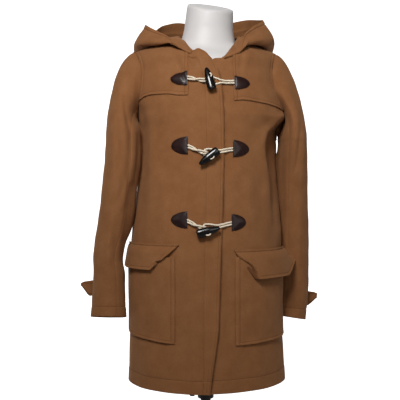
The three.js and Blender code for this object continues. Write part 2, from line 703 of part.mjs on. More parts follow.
// Dress form: a smooth torso inside the coat, nearly touching it on the shoulders only
const formClear = table("v gap", [
  [430, 46],
  [470, 26],
  [560, 16],
  [640, 20],
  [780, 34],
  [880, 14],
  [945, 8],
  [1000, 7],
  [1018, 6],
  [1030, WALL + 0.7],
  [1045, WALL + 0.6],
]);
const FORM_SIDES = 7; // points on each quarter of a ring
const FORM_ROWS = [
  ...[FORM_BOTTOM, 448, 500, 580, 670, 760, 850, 900, 945],
  ...[0.12, 0.25, 0.38, 0.5, 0.6, 0.7, 0.775, 0.85, 0.9, 0.95].map((k) => ARMPIT_Z + UPPER_SPAN * k),
];
// A ring runs from the front's middle by the right side to the back's middle and on round
function formRing(v) {
  const { gap } = formClear(v);
  const inside = (face, side, s) => {
    const normal = bodyNormal(face, side, s, v);
    if (v < ARMPIT_Z) normal.setZ(0).normalize();
    return bodyPoint(face, side, s, v).addScaledVector(normal, -gap);
  };
  const middle = (face) => inside(face, 1, 0).add(inside(face, -1, 0)).multiplyScalar(0.5);
  const shares = steps(0, 0.985, FORM_SIDES).slice(1);
  const back = [...shares].reverse();
  return [
    middle("front"),
    ...shares.map((s) => inside("front", 1, s)),
    ...back.map((s) => inside("back", 1, s)),
    middle("back"),
    ...shares.map((s) => inside("back", -1, s)),
    ...back.map((s) => inside("front", -1, s)),
  ];
}
// The torso's top is shut by a ladder of faces from its front row to its back row
function formTorso() {
  const rings = FORM_ROWS.map(formRing);
  const { points, faces } = loft(rings);
  const count = rings[0].length;
  const top = (rings.length - 1) * count;
  const backMiddle = 2 * FORM_SIDES + 1;
  const front = (side, j) => top + (side > 0 ? j : (count - j) % count);
  const rear = (side, j) => top + backMiddle - side * j;
  const open = faces.slice(0, faces.length - count);
  for (const side of [-1, 1])
    for (let j = 0; j < FORM_SIDES; j++) {
      const quad = [front(side, j), front(side, j + 1), rear(side, j + 1), rear(side, j)];
      const [a, b, c, d] = side > 0 ? quad : quad.reverse();
      open.push([a, b, c], [a, c, d]);
    }
  return { points: points.slice(0, -1), faces: open };
}

// The neck flares into the shoulders and leans a little; its top is cut on a slant
const NECK_TOP = 1216;
const NECK_SLANT = { back: 0.14, side: -0.11 }; // rise of the cut per millimetre, backwards and sideways
const neckShape = table("z x y wide deep", [
  [1060, 3, 0, 82, 64],
  [1100, 4, 0, 76, 60],
  [1136, 6.5, -2, 67, 55],
  [1155, 7.5, -4, 62, 52],
  [1176, 8.5, -6, 59.5, 51],
  [1216, 11.5, -8, 56.5, 50],
]);
function neckRing(z, grow = 0) {
  const { x, y, wide, deep } = neckShape(z);
  return circle(24, (cos, sin) => V(x + (wide + grow) * cos, y + (deep + grow) * sin, z));
}
function slantedRing(raise, grow) {
  const { x, y } = neckShape(NECK_TOP);
  return neckRing(NECK_TOP, grow).map((p) =>
    p.setZ(NECK_TOP + raise + (p.y - y) * NECK_SLANT.back + (p.x - x) * NECK_SLANT.side));
}

function toManifold({ points, faces }) {
  const volume = faces.reduce((sum, [a, b, c]) => sum + points[a].dot(points[b].clone().cross(points[c])), 0);
  const index = volume < 0 ? faces.map(([a, b, c]) => [a, c, b]) : faces;
  const mesh = new wasm.Mesh({
    numProp: 3,
    vertProperties: new Float32Array(points.flatMap((p) => [p.x, p.y, p.z])),
    triVerts: new Uint32Array(index.flat()),
  });
  return new wasm.Manifold(mesh);
}
function solidMesh(name, solid, colour, roughness) {
  const { vertProperties, triVerts } = solid.getMesh();
  const geometry = new THREE.BufferGeometry();
  geometry.setAttribute("position", new THREE.BufferAttribute(new Float32Array(vertProperties), 3));
  geometry.setIndex(new THREE.BufferAttribute(new Uint32Array(triVerts), 1));
  geometry.computeVertexNormals();
  return addMesh(name, geometry, colour, roughness, 0);
}
const CAP_HIGH = 6;
const neckRings = [1060, 1100, 1136, 1155, 1176].map((z) => neckRing(z));
const neck = toManifold(loft([...neckRings, slantedRing(-CAP_HIGH - SEAM, 0)]));
solidMesh("dress_form", toManifold(formTorso()).add(neck), FORM, 0.6);
loftMesh("neck_cap", [slantedRing(-CAP_HIGH, 0), slantedRing(-2, 0), slantedRing(0, -3)], FORM, 0.5);

// Stand: round base, pole, flange under the form and a clamp collar with its screw
function lathe(name, z, profile, sides, roughness, metalness) {
  const geometry = new THREE.LatheGeometry(profile.map(([r, h]) => new THREE.Vector2(r, h)), sides);
  geometry.rotateX(Math.PI / 2);
  geometry.translate(0, 0, z);
  return addMesh(name, bare(geometry), BLACK, roughness, metalness);
}
const { radius, thick } = BASE;
const baseProfile = [
  [0, 0],
  [radius - 2, 0],
  [radius, 2],
  [radius, thick - 3],
  [radius - 4, thick],
  [0, thick],
];
lathe("stand_base", 0, baseProfile, 36, 0.4, 0.6);
const poleFoot = BASE.thick + SEAM;
const FLANGE = { height: 14, radius: 45, hub: 19 };
const flangeZ = FORM_BOTTOM - SEAM - FLANGE.height;
const poleHigh = flangeZ - SEAM - poleFoot;
lathe("pole", poleFoot, [[0, 0], [POLE_RADIUS, 0], [POLE_RADIUS, poleHigh], [0, poleHigh]], 24, 0.35, 0.7);
const flangeProfile = [
  [0, 0],
  [FLANGE.hub, 0],
  [FLANGE.radius, 6],
  [FLANGE.radius, FLANGE.height],
  [0, FLANGE.height],
];
lathe("form_flange", flangeZ, flangeProfile, 24, 0.4, 0.6);
const hole = POLE_RADIUS + SEAM;
const collarProfile = [
  [hole, 0],
  [COLLAR.radius, 0],
  [COLLAR.radius, COLLAR.height],
  [hole, COLLAR.height],
  [hole, 0],
];
lathe("clamp_collar", COLLAR.z, collarProfile, 24, 0.4, 0.6);
const SCREW = { stem: 5, head: 10.5, neck: 7, length: 20 };
const screwProfile = [
  [0, 0],
  [SCREW.stem, 0],
  [SCREW.stem, SCREW.neck],
  [SCREW.head, SCREW.neck + 1],
  [SCREW.head, SCREW.length - 1],
  [SCREW.head - 2.5, SCREW.length],
  [0, SCREW.length],
];
const screw = new THREE.LatheGeometry(screwProfile.map(([r, h]) => new THREE.Vector2(r, h)), 16);
screw.rotateZ(Math.PI / 2);
screw.translate(-COLLAR.radius - SEAM, 0, COLLAR.z + COLLAR.height / 2);
addMesh("clamp_screw", bare(screw), BLACK, 0.4, 0.3);

export default group;
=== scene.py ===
"""A hooded wool duffle coat on a limbless dress form with a pole stand.

Metres in Blender, millimetres in the shape functions below. The coat's front faces -Y.
"""

import json
import math

import bmesh
import bpy
import numpy as np
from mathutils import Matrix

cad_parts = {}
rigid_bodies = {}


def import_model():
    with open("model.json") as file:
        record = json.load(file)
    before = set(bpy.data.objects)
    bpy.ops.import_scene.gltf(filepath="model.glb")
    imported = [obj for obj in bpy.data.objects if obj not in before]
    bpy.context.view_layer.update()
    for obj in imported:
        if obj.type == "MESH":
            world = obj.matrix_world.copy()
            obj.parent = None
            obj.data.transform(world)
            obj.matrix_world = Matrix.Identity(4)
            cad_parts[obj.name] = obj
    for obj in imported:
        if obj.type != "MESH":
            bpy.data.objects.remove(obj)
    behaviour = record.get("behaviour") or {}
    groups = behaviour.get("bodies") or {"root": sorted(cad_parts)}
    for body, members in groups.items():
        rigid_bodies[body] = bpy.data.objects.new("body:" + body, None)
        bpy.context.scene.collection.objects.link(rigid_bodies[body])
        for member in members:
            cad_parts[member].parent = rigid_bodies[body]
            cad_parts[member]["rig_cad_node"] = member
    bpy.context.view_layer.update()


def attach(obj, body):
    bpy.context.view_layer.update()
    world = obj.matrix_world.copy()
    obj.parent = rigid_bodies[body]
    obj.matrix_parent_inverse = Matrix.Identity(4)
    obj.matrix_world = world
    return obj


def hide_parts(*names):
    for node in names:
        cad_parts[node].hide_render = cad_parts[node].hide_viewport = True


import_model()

MM = 0.001

SIDES = ((-1, "left"), (1, "right"))
WALL = 2.8  # the wool's thickness
OVER_LIFT = 3.8  # how far the upper front lies outside the lower one
HEM_Z = 300
ARMPIT_Z = 945
UPPER_SPAN = 100  # how far v runs on from the armpit to the shoulder seam
V_TOP = ARMPIT_Z + UPPER_SPAN

# Camera, where the photograph was taken from

EYE = np.array([-111.9, -1596.1, 742.0])
TURN = math.radians(-3.5)
RIGHT = np.array([math.cos(TURN), math.sin(TURN), 0.0])
AHEAD = np.array([-math.sin(TURN), math.cos(TURN), 0.0])
LENS = 57.6
SENSOR = 36.0
FRAME_PX = 400.0


def picture(points):
    """Where points appear in the photograph's frame, in its pixels."""
    rel = points - EYE
    depth = rel @ AHEAD
    scale = FRAME_PX * LENS / SENSOR / depth
    return FRAME_PX / 2 + scale * (rel @ RIGHT), FRAME_PX / 2 - scale * rel[..., 2]


camera_data = bpy.data.cameras.new("camera")
camera_data.lens = LENS
camera_data.sensor_width = SENSOR
camera = bpy.data.objects.new("camera", camera_data)
camera.location = EYE * MM
camera.rotation_euler = (math.pi / 2, 0, TURN)
bpy.context.collection.objects.link(camera)
bpy.context.scene.camera = camera

# Small tools


def smooth(a, b, x):
    t = np.clip((x - a) / (b - a), 0, 1)
    return t * t * (3 - 2 * t)


def bump_at(x, centre, width):
    return np.exp(-(((x - centre) / width) ** 2))


def table(names, rows):
    """Named columns read at any height by a smooth curve that never overshoots its rows."""
    keys = names.split()[1:]
    data = np.array(rows, float)
    x = data[:, 0]
    columns = {}
    for c, key in enumerate(keys, 1):
        y = data[:, c]
        slope = np.diff(y) / np.diff(x)
        tangent = np.empty_like(y)
        tangent[0], tangent[-1] = slope[0], slope[-1]
        a, b = slope[:-1], slope[1:]
        same = a * b > 0
        total = np.where(same, a + b, 1)
        tangent[1:-1] = np.where(same, 2 * a * b / total, 0)
        columns[key] = (y, tangent)

    def read(at):
        at = np.clip(np.asarray(at, float), x[0], x[-1])
        i = np.clip(np.searchsorted(x, at, side="right") - 1, 0, len(x) - 2)
        h = x[i + 1] - x[i]
        t = (at - x[i]) / h
        out = {}
        for key, (y, tangent) in columns.items():
            out[key] = (
                y[i] * (1 + 2 * t) * (1 - t) ** 2
                + tangent[i] * h * t * (1 - t) ** 2
                + y[i + 1] * t * t * (3 - 2 * t)
                + tangent[i + 1] * h * t * t * (t - 1)
            )
        return out

    return read


def stack(x, y, z):
    return np.stack(np.broadcast_arrays(x, y, z), axis=-1)


def unit(v):
    return v / np.maximum(np.linalg.norm(v, axis=-1, keepdims=True), 1e-9)


# The body's shape, by height, in mm from the form's axis

BODY = table("z left right seam front back turned", [
    [300, 191, 199, 5, 146, 140, -9],
    [340, 190, 197, 6, 145, 138, -9],
    [410, 189, 192, 8, 143, 132, -9],
    [470, 188, 190, 10, 141, 128, -9],
    [560, 189, 191, 12, 138, 124, -8],
    [640, 186, 191, 14, 135, 118, -6],
    [700, 180, 191, 16, 131, 110, -3],
    [780, 169, 187, 18, 126, 104, 0],
    [830, 164, 186, 19, 123, 106, 0],
    [880, 160, 188, 20, 121, 111, 0],
    [915, 161, 184, 20, 120, 114, 0],
    [945, 168, 203, 20, 119, 117, 0],
])
UPPER = {
    "front": table("k xIn yIn zIn xOut yOut zOut turn", [
        [0.0, 0, -119, 945, 164, 20, 945, 90],
        [0.25, 0, -114, 990, 153, -18, 968, 78],
        [0.5, 0, -105, 1035, 149, -38, 1008, 66],
        [0.7, 0, -94, 1068, 154, -34, 1047, 55],
        [0.85, 38, -84, 1090, 163, -20, 1080, 45],
        [0.93, 59, -47, 1121, 170, -8, 1098, 36],
        [1.0, 75, 5, 1147, 176, 5, 1110, 28],
    ]),
    "back": table("k xIn yIn zIn xOut yOut zOut turn", [
        [0.0, 0, 117, 945, 164, 20, 945, 90],
        [0.25, 0, 121, 990, 159, 46, 968, 78],
        [0.5, 0, 121, 1040, 160, 52, 1010, 66],
        [0.7, 0, 113, 1090, 165, 42, 1055, 55],
        [0.85, 0, 92, 1134, 171, 24, 1088, 45],
        [0.93, 43, 66, 1148, 174, 14, 1101, 36],
        [1.0, 75, 5, 1147, 176, 5, 1110, 28],
    ]),
}
# How far each front's armhole reaches out beyond the rows above
ARMHOLE_OUT = {
    -1: table("k out", [[0, 4], [0.12, 10], [0.25, 14], [0.5, 12], [0.7, 5], [0.85, 0], [1, 0]]),
    1: table("k out", [[0, 39], [0.1, 38], [0.25, 35], [0.4, 27], [0.6, 12], [0.8, 3], [1, 0]]),
}
NECK_ASKEW = 7


def body_point(face, side, s, v):
    """s runs from the centre (0) to the side seam or armhole (1); v is the height to the armpit,
    then runs on to V_TOP at the shoulder seam."""
    s, v = np.broadcast_arrays(np.asarray(s, float), np.asarray(v, float))
    low = BODY(np.minimum(v, ARMPIT_Z))
    k = np.clip((v - ARMPIT_Z) / UPPER_SPAN, 0, 1)
    high = UPPER[face](k)
    below = v <= ARMPIT_Z
    middle = low["turned"] * side if face == "front" else 0 * v
    depth = -low["front"] if face == "front" else low["back"]
    x_in = np.where(below, middle, high["xIn"] + side * NECK_ASKEW * smooth(0.75, 1, k))
    y_in = np.where(below, depth, high["yIn"])
    z_in = np.where(below, v, high["zIn"])
    half = low["left"] if side < 0 else low["right"]
    out = ARMHOLE_OUT[side](k)["out"]
    if face == "back":
        out = out * (1 - smooth(0, 0.4, k))
    x_out = np.where(below, half, high["xOut"] + out)
    y_out = np.where(below, low["seam"], high["yOut"])
    z_out = np.where(below, v, high["zOut"])
    turn = np.radians(np.where(below, 90, high["turn"]))
    across = np.sin(s * turn) / np.sin(turn)
    round_ = (1 - np.cos(s * turn)) / (1 - np.cos(turn))
    return stack(
        side * (x_in + (x_out - x_in) * across),
        y_in + (y_out - y_in) * round_,
        z_in + (z_out - z_in) * np.abs(s),
    )


def body_normal(face, side, s, v):
    low = np.maximum(v - 1, HEM_Z)
    high = np.minimum(v + 1, V_TOP)
    along = body_point(face, side, s + 0.004, v) - body_point(face, side, s - 0.004, v)
    up = body_point(face, side, s, high) - body_point(face, side, s, low)
    normal = unit(np.cross(along, up)) * (side if face == "front" else -side)
    at_shoulder = smooth(V_TOP - 14, V_TOP, v)[..., None]
    seam = np.array([side * 0.33, 0, 0.944])
    return unit(normal * (1 - at_shoulder) + seam * at_shoulder)


def on_front(side, x, z):
    """s and v of the front's point with this x and this height."""
    x, z = np.broadcast_arrays(np.asarray(x, float), np.asarray(z, float))
    s = np.clip(side * x / 170, 0, 1) * 0.6
    v = np.minimum(z, V_TOP)
    for _ in range(30):
        dv = np.where(v > V_TOP - 1, -1.0, 1.0)
        p = body_point("front", side, s, v)
        ps = (body_point("front", side, s + 0.01, v) - p) / 0.01
        pv = (body_point("front", side, s, v + dv) - p) / dv[..., None]
        a, c, b, d = ps[..., 0], ps[..., 2], pv[..., 0], pv[..., 2]
        det = a * d - b * c
        ex, ez = x - p[..., 0], z - p[..., 2]
        s = s + np.clip((ex * d - ez * b) / det, -0.2, 0.2)
        v = np.clip(v + (ez * a - ex * c) / det, HEM_Z, V_TOP)
    return s, v


OVER_EDGE = table("z x", [
    [300, -1], [340, 4], [397, 12], [442, 18], [512, 21], [603, 24], [674, 28], [760, 31], [875, 34], [968, 32],
    [1018, 28], [1050, 20], [1068, 10],
])


def over_edge(z):
    return OVER_EDGE(z)["x"]


def over_lift(side, s, v):
    if side > 0:
        return np.zeros(np.broadcast(s, v).shape)
    x = body_point("front", -1, s, v)[..., 0]
    return OVER_LIFT * (1 - smooth(32, 74, -x))


def edge_s(side, v, edge):
    """s of a front's free edge, which runs along x = edge(z)."""
    s = np.zeros_like(v, dtype=float)
    for _ in range(30):
        p = body_point("front", side, s, v)
        step = body_point("front", side, s + 0.01, v)[..., 0] - p[..., 0]
        s = s + 0.01 * (edge(p[..., 2]) - p[..., 0]) / step
    return s


# Folds

FOLD_SCALE = 1.9  # the heights in the folds' tables are multiplied by this
SLEEVE_SHARE = 0.72  # and on the sleeves by this as well


def creases(px, py, lines):
    """The relief of folds along lines in the photograph's frame, each point (x, y, height in mm)."""
    total = np.zeros_like(px)
    for width, points in lines:
        best = np.full(px.shape, 1e9)
        height = np.zeros_like(px)
        for (ax, ay, ah), (bx, by, bh) in zip(points, points[1:]):
            length2 = (bx - ax) ** 2 + (by - ay) ** 2
            t = np.clip(((px - ax) * (bx - ax) + (py - ay) * (by - ay)) / length2, 0, 1)
            d = np.hypot(px - ax - t * (bx - ax), py - ay - t * (by - ay))
            near = d < best
            best = np.where(near, d, best)
            height = np.where(near, ah + t * (bh - ah), height)
        total += height * np.exp(-((best / width) ** 2))
    return total * FOLD_SCALE


FRONT_FOLDS = [
    # drag from the right armpit down the side
    (4.0, [(263, 141, 1.4), (262.5, 158, 2.4), (265.5, 180, 2.2), (267, 205, 1.2), (267, 228, 0)]),
    (3.4, [(284, 113, 1.6), (275, 123, 2.4), (267, 130, 2.0), (262, 142, 1.0)]),
    # from the left armpit
    (5.0, [(149, 116, 1.2), (151, 150, 2.0), (150, 195, 1.8), (148, 238, 0.6)]),
    (3.0, [(140, 108, -1.6), (144.5, 124, -2.4), (145, 150, -1.6), (143.5, 180, -0.6)]),
    # soft tucks between the placket and the yokes
    (2.4, [(198.5, 99, -0.5), (199.5, 126, -0.2)]),
    (2.2, [(204.8, 103, 0.7), (205.4, 128, 0.2)]),
    (2.2, [(210.5, 100, -0.5), (211.5, 126, -0.1)]),
    # the left shoulder, pulled in to the neck
    (1.8, [(173.5, 51, -1.0), (180, 66, -1.6), (185, 80, -1.0), (187.5, 96, -0.3)]),
    (2.2, [(179.5, 51, 0.8), (184.5, 65, 1.2), (189.5, 82, 0.6)]),
    (1.8, [(187.5, 53, -0.8), (191, 64, -0.9), (193.5, 80, -0.3)]),
    (2.6, [(196, 52, 0.7), (200.5, 66, 0.8), (201, 80, 0.2)]),
    # the crease under the neckline's bump
    (1.3, [(200, 51.5, -0.6), (206, 53.5, -1.5), (211, 57, -1.3), (214.5, 63, -0.4)]),
    # the right shoulder beside the hood
    (2.0, [(242, 52, -0.8), (239.5, 64, -1.0), (238.5, 78, -0.4)]),
    (2.4, [(249, 50, 0.7), (245, 66, 0.9), (243.5, 78, 0.2)]),
    # the skirt
    (7.0, [(256, 350, 0.8), (260, 372, 1.8), (262, 386, 1.2)]),
    (7.0, [(240, 352, -0.8), (243, 384, -1.4)]),
    (7.0, [(152, 350, 0.8), (150, 372, 1.6)]),
    (8.0, [(192, 262, 1.2), (190, 310, 1.4), (196, 345, 0.4)]),
    (7.0, [(228, 262, -1.0), (229, 318, -1.4), (228, 350, -0.6)]),
    (8.0, [(160, 178, 0.8), (164, 210, 1.4), (160, 236, 0.5)]),
    (7.0, [(246, 170, 1.0), (250, 205, 1.4), (246, 236, 0.3)]),
]
SLEEVE_FOLDS = {
    -1: [
        (2.0, [(123.5, 96, -1.2), (126.5, 114, -2.4), (130.5, 131, -3.0), (130, 147, -2.4), (127.5, 166, -0.6)]),
        (3.4, [(119.5, 92, 1.2), (121.5, 116, 2.2), (124.5, 135, 2.0), (123.5, 156, 1.0)]),
        (2.2, [(116, 132, -0.8), (119.5, 146, -2.2), (119, 160, -2.2), (116.5, 174, -0.6)]),
        (3.0, [(113.5, 140, 1.2), (114.5, 158, 1.8), (112, 182, 0.8)]),
        (1.8, [(131.5, 150, -1.4), (129.5, 164, -2.0), (126.5, 178, -0.8)]),
        (2.0, [(123.5, 180, -0.6), (121, 192, -2.2), (116.5, 204, -1.2)]),
        (2.8, [(126.5, 186, 1.2), (124, 200, 1.6), (118, 212, 0.8)]),
        (3.2, [(131.5, 186, -2.0), (128.5, 210, -2.8), (125, 236, -2.0), (123.5, 258, -0.6)]),
        (3.0, [(112.5, 208, 0.8), (109.5, 236, 1.6), (108, 264, 0.8)]),
        (2.6, [(117.5, 220, -0.6), (115.5, 244, -1.4), (114, 268, -0.4)]),
        (2.4, [(136.5, 60, 0.6), (134, 80, 1.0), (133, 100, 0.8), (136, 118, 0.8)]),
        (4.0, [(141, 124, -0.3), (141.5, 140, -3.6), (141, 152, -4.2), (139, 170, -3.8), (134, 205, -2.4),
               (129, 240, -1.6)]),
        (2.4, [(109.5, 292, -0.8), (110.5, 308, -1.0)]),
        (3.0, [(101.5, 288, 0.8), (100.5, 308, 0.9)]),
    ],
    1: [
        (2.0, [(301.5, 112, -0.8), (301, 130, -1.8), (299, 148, -3.0), (296.5, 163, -2.6), (291.5, 177, -1.0)]),
        (3.2, [(296, 112, 1.0), (295.5, 132, 1.8), (292.5, 150, 1.8), (288, 166, 0.8)]),
        (2.6, [(304, 134, 1.0), (303, 158, 1.8), (301, 182, 1.2)]),
        (2.6, [(288, 104, -1.2), (289.5, 122, -2.0), (287, 140, -1.8)]),
        (4.0, [(282, 120, -2.0), (279.5, 150, -3.0), (281, 190, -2.6), (283, 235, -1.6)]),
        (2.4, [(294.5, 186, -0.8), (291, 206, -1.6), (290, 228, -0.8)]),
        (3.4, [(300, 200, 0.8), (299, 232, 1.6), (299.5, 262, 0.8)]),
        (3.0, [(289, 236, -0.8), (291.5, 262, -1.8), (290.5, 290, -1.0)]),
        (2.4, [(297, 284, 0.8), (295.5, 304, 0.9)]),
    ],
}
HOOD_FOLDS = [
    (3.0, [(139, 45, 1.0), (150, 41, 1.6), (163, 42.5, 1.2)]),
    (2.6, [(150, 34, -0.4), (160, 38.5, -0.8)]),
    (2.4, [(262, 40, 1.2), (254, 41, 1.4), (245, 46, 0.8)]),
    (2.4, [(258, 30, -0.8), (250, 35, -1.2), (243, 42, -0.5)]),
]


def unevenness(points, seed, size=60.0, height=0.6):
    """A gentle unevenness of worn cloth, from a few seeded waves."""
    rng = np.random.default_rng(seed)
    total = np.zeros(points.shape[:-1])
    for _ in range(7):
        direction = unit(rng.normal(size=3))
        wave = 2 * math.pi / (size * rng.uniform(0.6, 1.8))
        total += np.sin(points @ direction * wave + rng.uniform(0, 6.28))
    return total * height / 2.6


def front_relief(points, normals):
    px, py = picture(points)
    facing = smooth(0.05, 0.35, -(normals @ AHEAD))
    return creases(px, py, FRONT_FOLDS) * facing + unevenness(points, 3)


STITCH = 5.4  # how far the edges' stitching lies from them


def stitched(d, at=STITCH, rise=0.9, groove=0.75):
    """Relief near an edge that is turned and stitched: d is the distance from the edge."""
    return rise * (1 - smooth(at - 1.2, at + 0.4, d)) - groove * bump_at(d, at, 1.1)


def marks(length, step, *grooves):
    """Grid positions from 0 to length, about step apart, and close together at each groove."""
    near = [0.0, length]
    for g in grooves:
        near += [g - 2.4, g - 1.1, g - 0.4, g + 0.4, g + 1.1, g + 2.4]
    near = sorted(n for n in near if 0 <= n <= length)
    out = [near[0]]
    for n in near[1:]:
        gap = n - out[-1]
        if gap < 0.3:
            continue
        count = max(1, round(gap / step))
        out += list(np.linspace(out[-1], n, count + 1)[1:])
    return np.array(out)


# Meshes


def write_smooth(bm, mesh):
    for face in bm.faces:
        face.smooth = True
    bm.to_mesh(mesh)
    bm.free()


def grid_piece(name, points, ring=False, groove=None):
    """A grid of points, rows by columns, in mm, as an object. A ring's last column meets its first."""
    rows, columns = points.shape[:2]
    bm = bmesh.new()
    layer = bm.loops.layers.uv.new("UVMap")
    bmesh.ops.create_grid(bm, x_segments=columns - 1, y_segments=rows - 1, size=1)
    bm.verts.ensure_lookup_table()
    for vert, p in zip(bm.verts, points.reshape(-1, 3) * MM):
        vert.co = p
    # The groove attribute carries painted shade, darker in creases and stitched grooves, which the wool's colour
    # reads
    if groove is not None:
        depth = bm.verts.layers.float.new("groove")
        for vert, g in zip(bm.verts, groove.reshape(-1)):
            vert[depth] = float(g)
    along = np.zeros((rows, columns))
    up = np.zeros((rows, columns))
    along[:, 1:] = np.cumsum(np.linalg.norm(np.diff(points, axis=1), axis=-1), axis=1)
    up[1:] = np.cumsum(np.linalg.norm(np.diff(points, axis=0), axis=-1), axis=0)
    along, up = along.reshape(-1) * MM, up.reshape(-1) * MM
    for face in bm.faces:
        for loop in face.loops:
            i = loop.vert.index
            loop[layer].uv = (along[i], up[i])
    if ring:
        bmesh.ops.remove_doubles(bm, verts=bm.verts, dist=1e-6)
    mesh = bpy.data.meshes.new(name)
    write_smooth(bm, mesh)
    obj = bpy.data.objects.new(name, mesh)
    bpy.context.collection.objects.link(obj)
    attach(obj, "root")
    return obj


def finish_as(obj, material, node=None):
    """The piece's material and slot, and the node that it stands for."""
    obj.data.materials.append(material)
    if node:
        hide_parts(node)
    return obj


def surface_normals(points):
    """Normals of a grid of points, from its own neighbours."""
    along = np.gradient(points, axis=1)
    up = np.gradient(points, axis=0)
    return unit(np.cross(along, up))


def facing_out(normals, outward):
    return normals if np.sum(normals * outward) >= 0 else -normals


def groove_depth(points, outward):
    """How far each point lies in a stitched line or a crease, from 0 to 1: how sharply the surface turns in. The wool
    is given painted shade by this much.
    """
    total = np.zeros(points.shape[:-1])
    for axis in (0, 1):
        p = np.moveaxis(points, axis, 0)
        n = np.moveaxis(outward, axis, 0)
        step = np.diff(p, axis=0)
        size = np.maximum(np.linalg.norm(step, axis=-1, keepdims=True), 0.2)
        slope = step / size
        turn = (slope[1:] - slope[:-1]) / (0.5 * (size[1:] + size[:-1]))
        bend = np.zeros(p.shape[:-1])
        bend[1:-1] = np.sum(turn * n[1:-1], axis=-1)
        total += np.moveaxis(np.maximum(bend, 0), 0, axis)
    return 1 - np.exp(-1.3 * np.maximum(total - 0.03, 0))


FRONTS = ["front_over_cloth", "front_under_cloth"]
# The wool pieces' cuts: the width and length in metres that each needs of the flat cloth, its area,
# whether it is hung or laid, and on what
CUTS = {
    "front_over": (0.30, 0.95, 0.226, "hung", ["form_torso"]),
    "front_under": (0.335, 0.957, 0.238, "hung", ["form_torso"]),
    "back": (0.266, 0.968, 0.194, "hung", ["form_torso"]),
    "yoke": (0.177, 0.22, 0.0226, "laid", FRONTS),
    "pocket": (0.20, 0.203, 0.039, "laid", FRONTS),
    "flap": (0.20, 0.091, 0.0124, "hung", ["pocket_SIDE_cloth"]),
    "sleeve_upper": (0.331, 0.706, 0.132, "hung", ["back_SIDE_cloth"]),
    "sleeve_under": (0.123, 0.552, 0.0516, "hung", ["back_SIDE_cloth"]),
    "cuff_strap": (0.101, 0.039, 0.0032, "laid", ["sleeve_upper_SIDE_cloth"]),
    "hood": (0.51, 0.466, 0.102, "laid", ["back_SIDE_cloth"]),
}


def wall(name, points, normals, thickness, rounding, shade=0.0):
    """A sheet of this thickness with rounded edges: the points are its outer side."""
    mine = surface_normals(points)
    facing = 1 if np.sum(mine * normals) >= 0 else -1
    # Painted shade: darker where the surface turns in at creases and stitching, plus any shade given
    groove = np.clip(groove_depth(points, mine * facing) + shade, 0, 1)
    if facing < 0:
        points, groove = points[:, ::-1], groove[:, ::-1]
    obj = grid_piece(name, points, groove=groove)
    solid = obj.modifiers.new("thickness", "SOLIDIFY")
    solid.thickness = thickness * MM
    solid.offset = -1
    edge = obj.modifiers.new("rounded edges", "BEVEL")
    edge.limit_method = "ANGLE"
    edge.angle_limit = math.radians(50)
    edge.width = rounding * MM
    edge.segments = 2
    return obj


def cloth(node, points, normals, thickness=WALL, shade=0.0):
    """A cut of the wool in place of a node."""
    obj = finish_as(wall(node + "_cloth", points, normals, thickness, 0.9, shade), WOOL, node)
    kind, side = node.rsplit("_", 1)
    width, length, area, held, on = CUTS[kind if kind in CUTS else node]
    on = [name.replace("SIDE", side) for name in on]


# Materials, each named by the real one. Colours are sRGB hex, pattern scales are patches to a metre.


def linear(hex_colour):
    """sRGB hex to Blender's linear colour."""
    out = []
    for i in (1, 3, 5):
        c = int(hex_colour[i : i + 2], 16) / 255
        out.append(c / 12.92 if c <= 0.04045 else ((c + 0.055) / 1.055) ** 2.4)
    return (*out, 1.0)


def set_inputs(tree, node, inputs):
    """Each input gets its value, or a link where it is given another node's output."""
    for key, value in inputs.items():
        if isinstance(value, bpy.types.NodeSocket):
            tree.links.new(value, node.inputs[key])
        else:
            node.inputs[key].default_value = value


def add_node(tree, kind, inputs, stops=(), **settings):
    """A node with its settings, inputs and, for a colour ramp, its stops. Gives the node's outputs."""
    node = tree.nodes.new(kind)
    for key, value in settings.items():
        setattr(node, key, value)
    set_inputs(tree, node, inputs)
    for _ in stops[2:]:
        node.color_ramp.elements.new(0.5)
    for i, (at, colour) in enumerate(stops):
        node.color_ramp.elements[i].position = at
        node.color_ramp.elements[i].color = linear(colour)
    return node.outputs


def new_material(name):
    material = bpy.data.materials.new(name)
    material.use_nodes = True
    return material, material.node_tree, material.node_tree.nodes["Principled BSDF"]


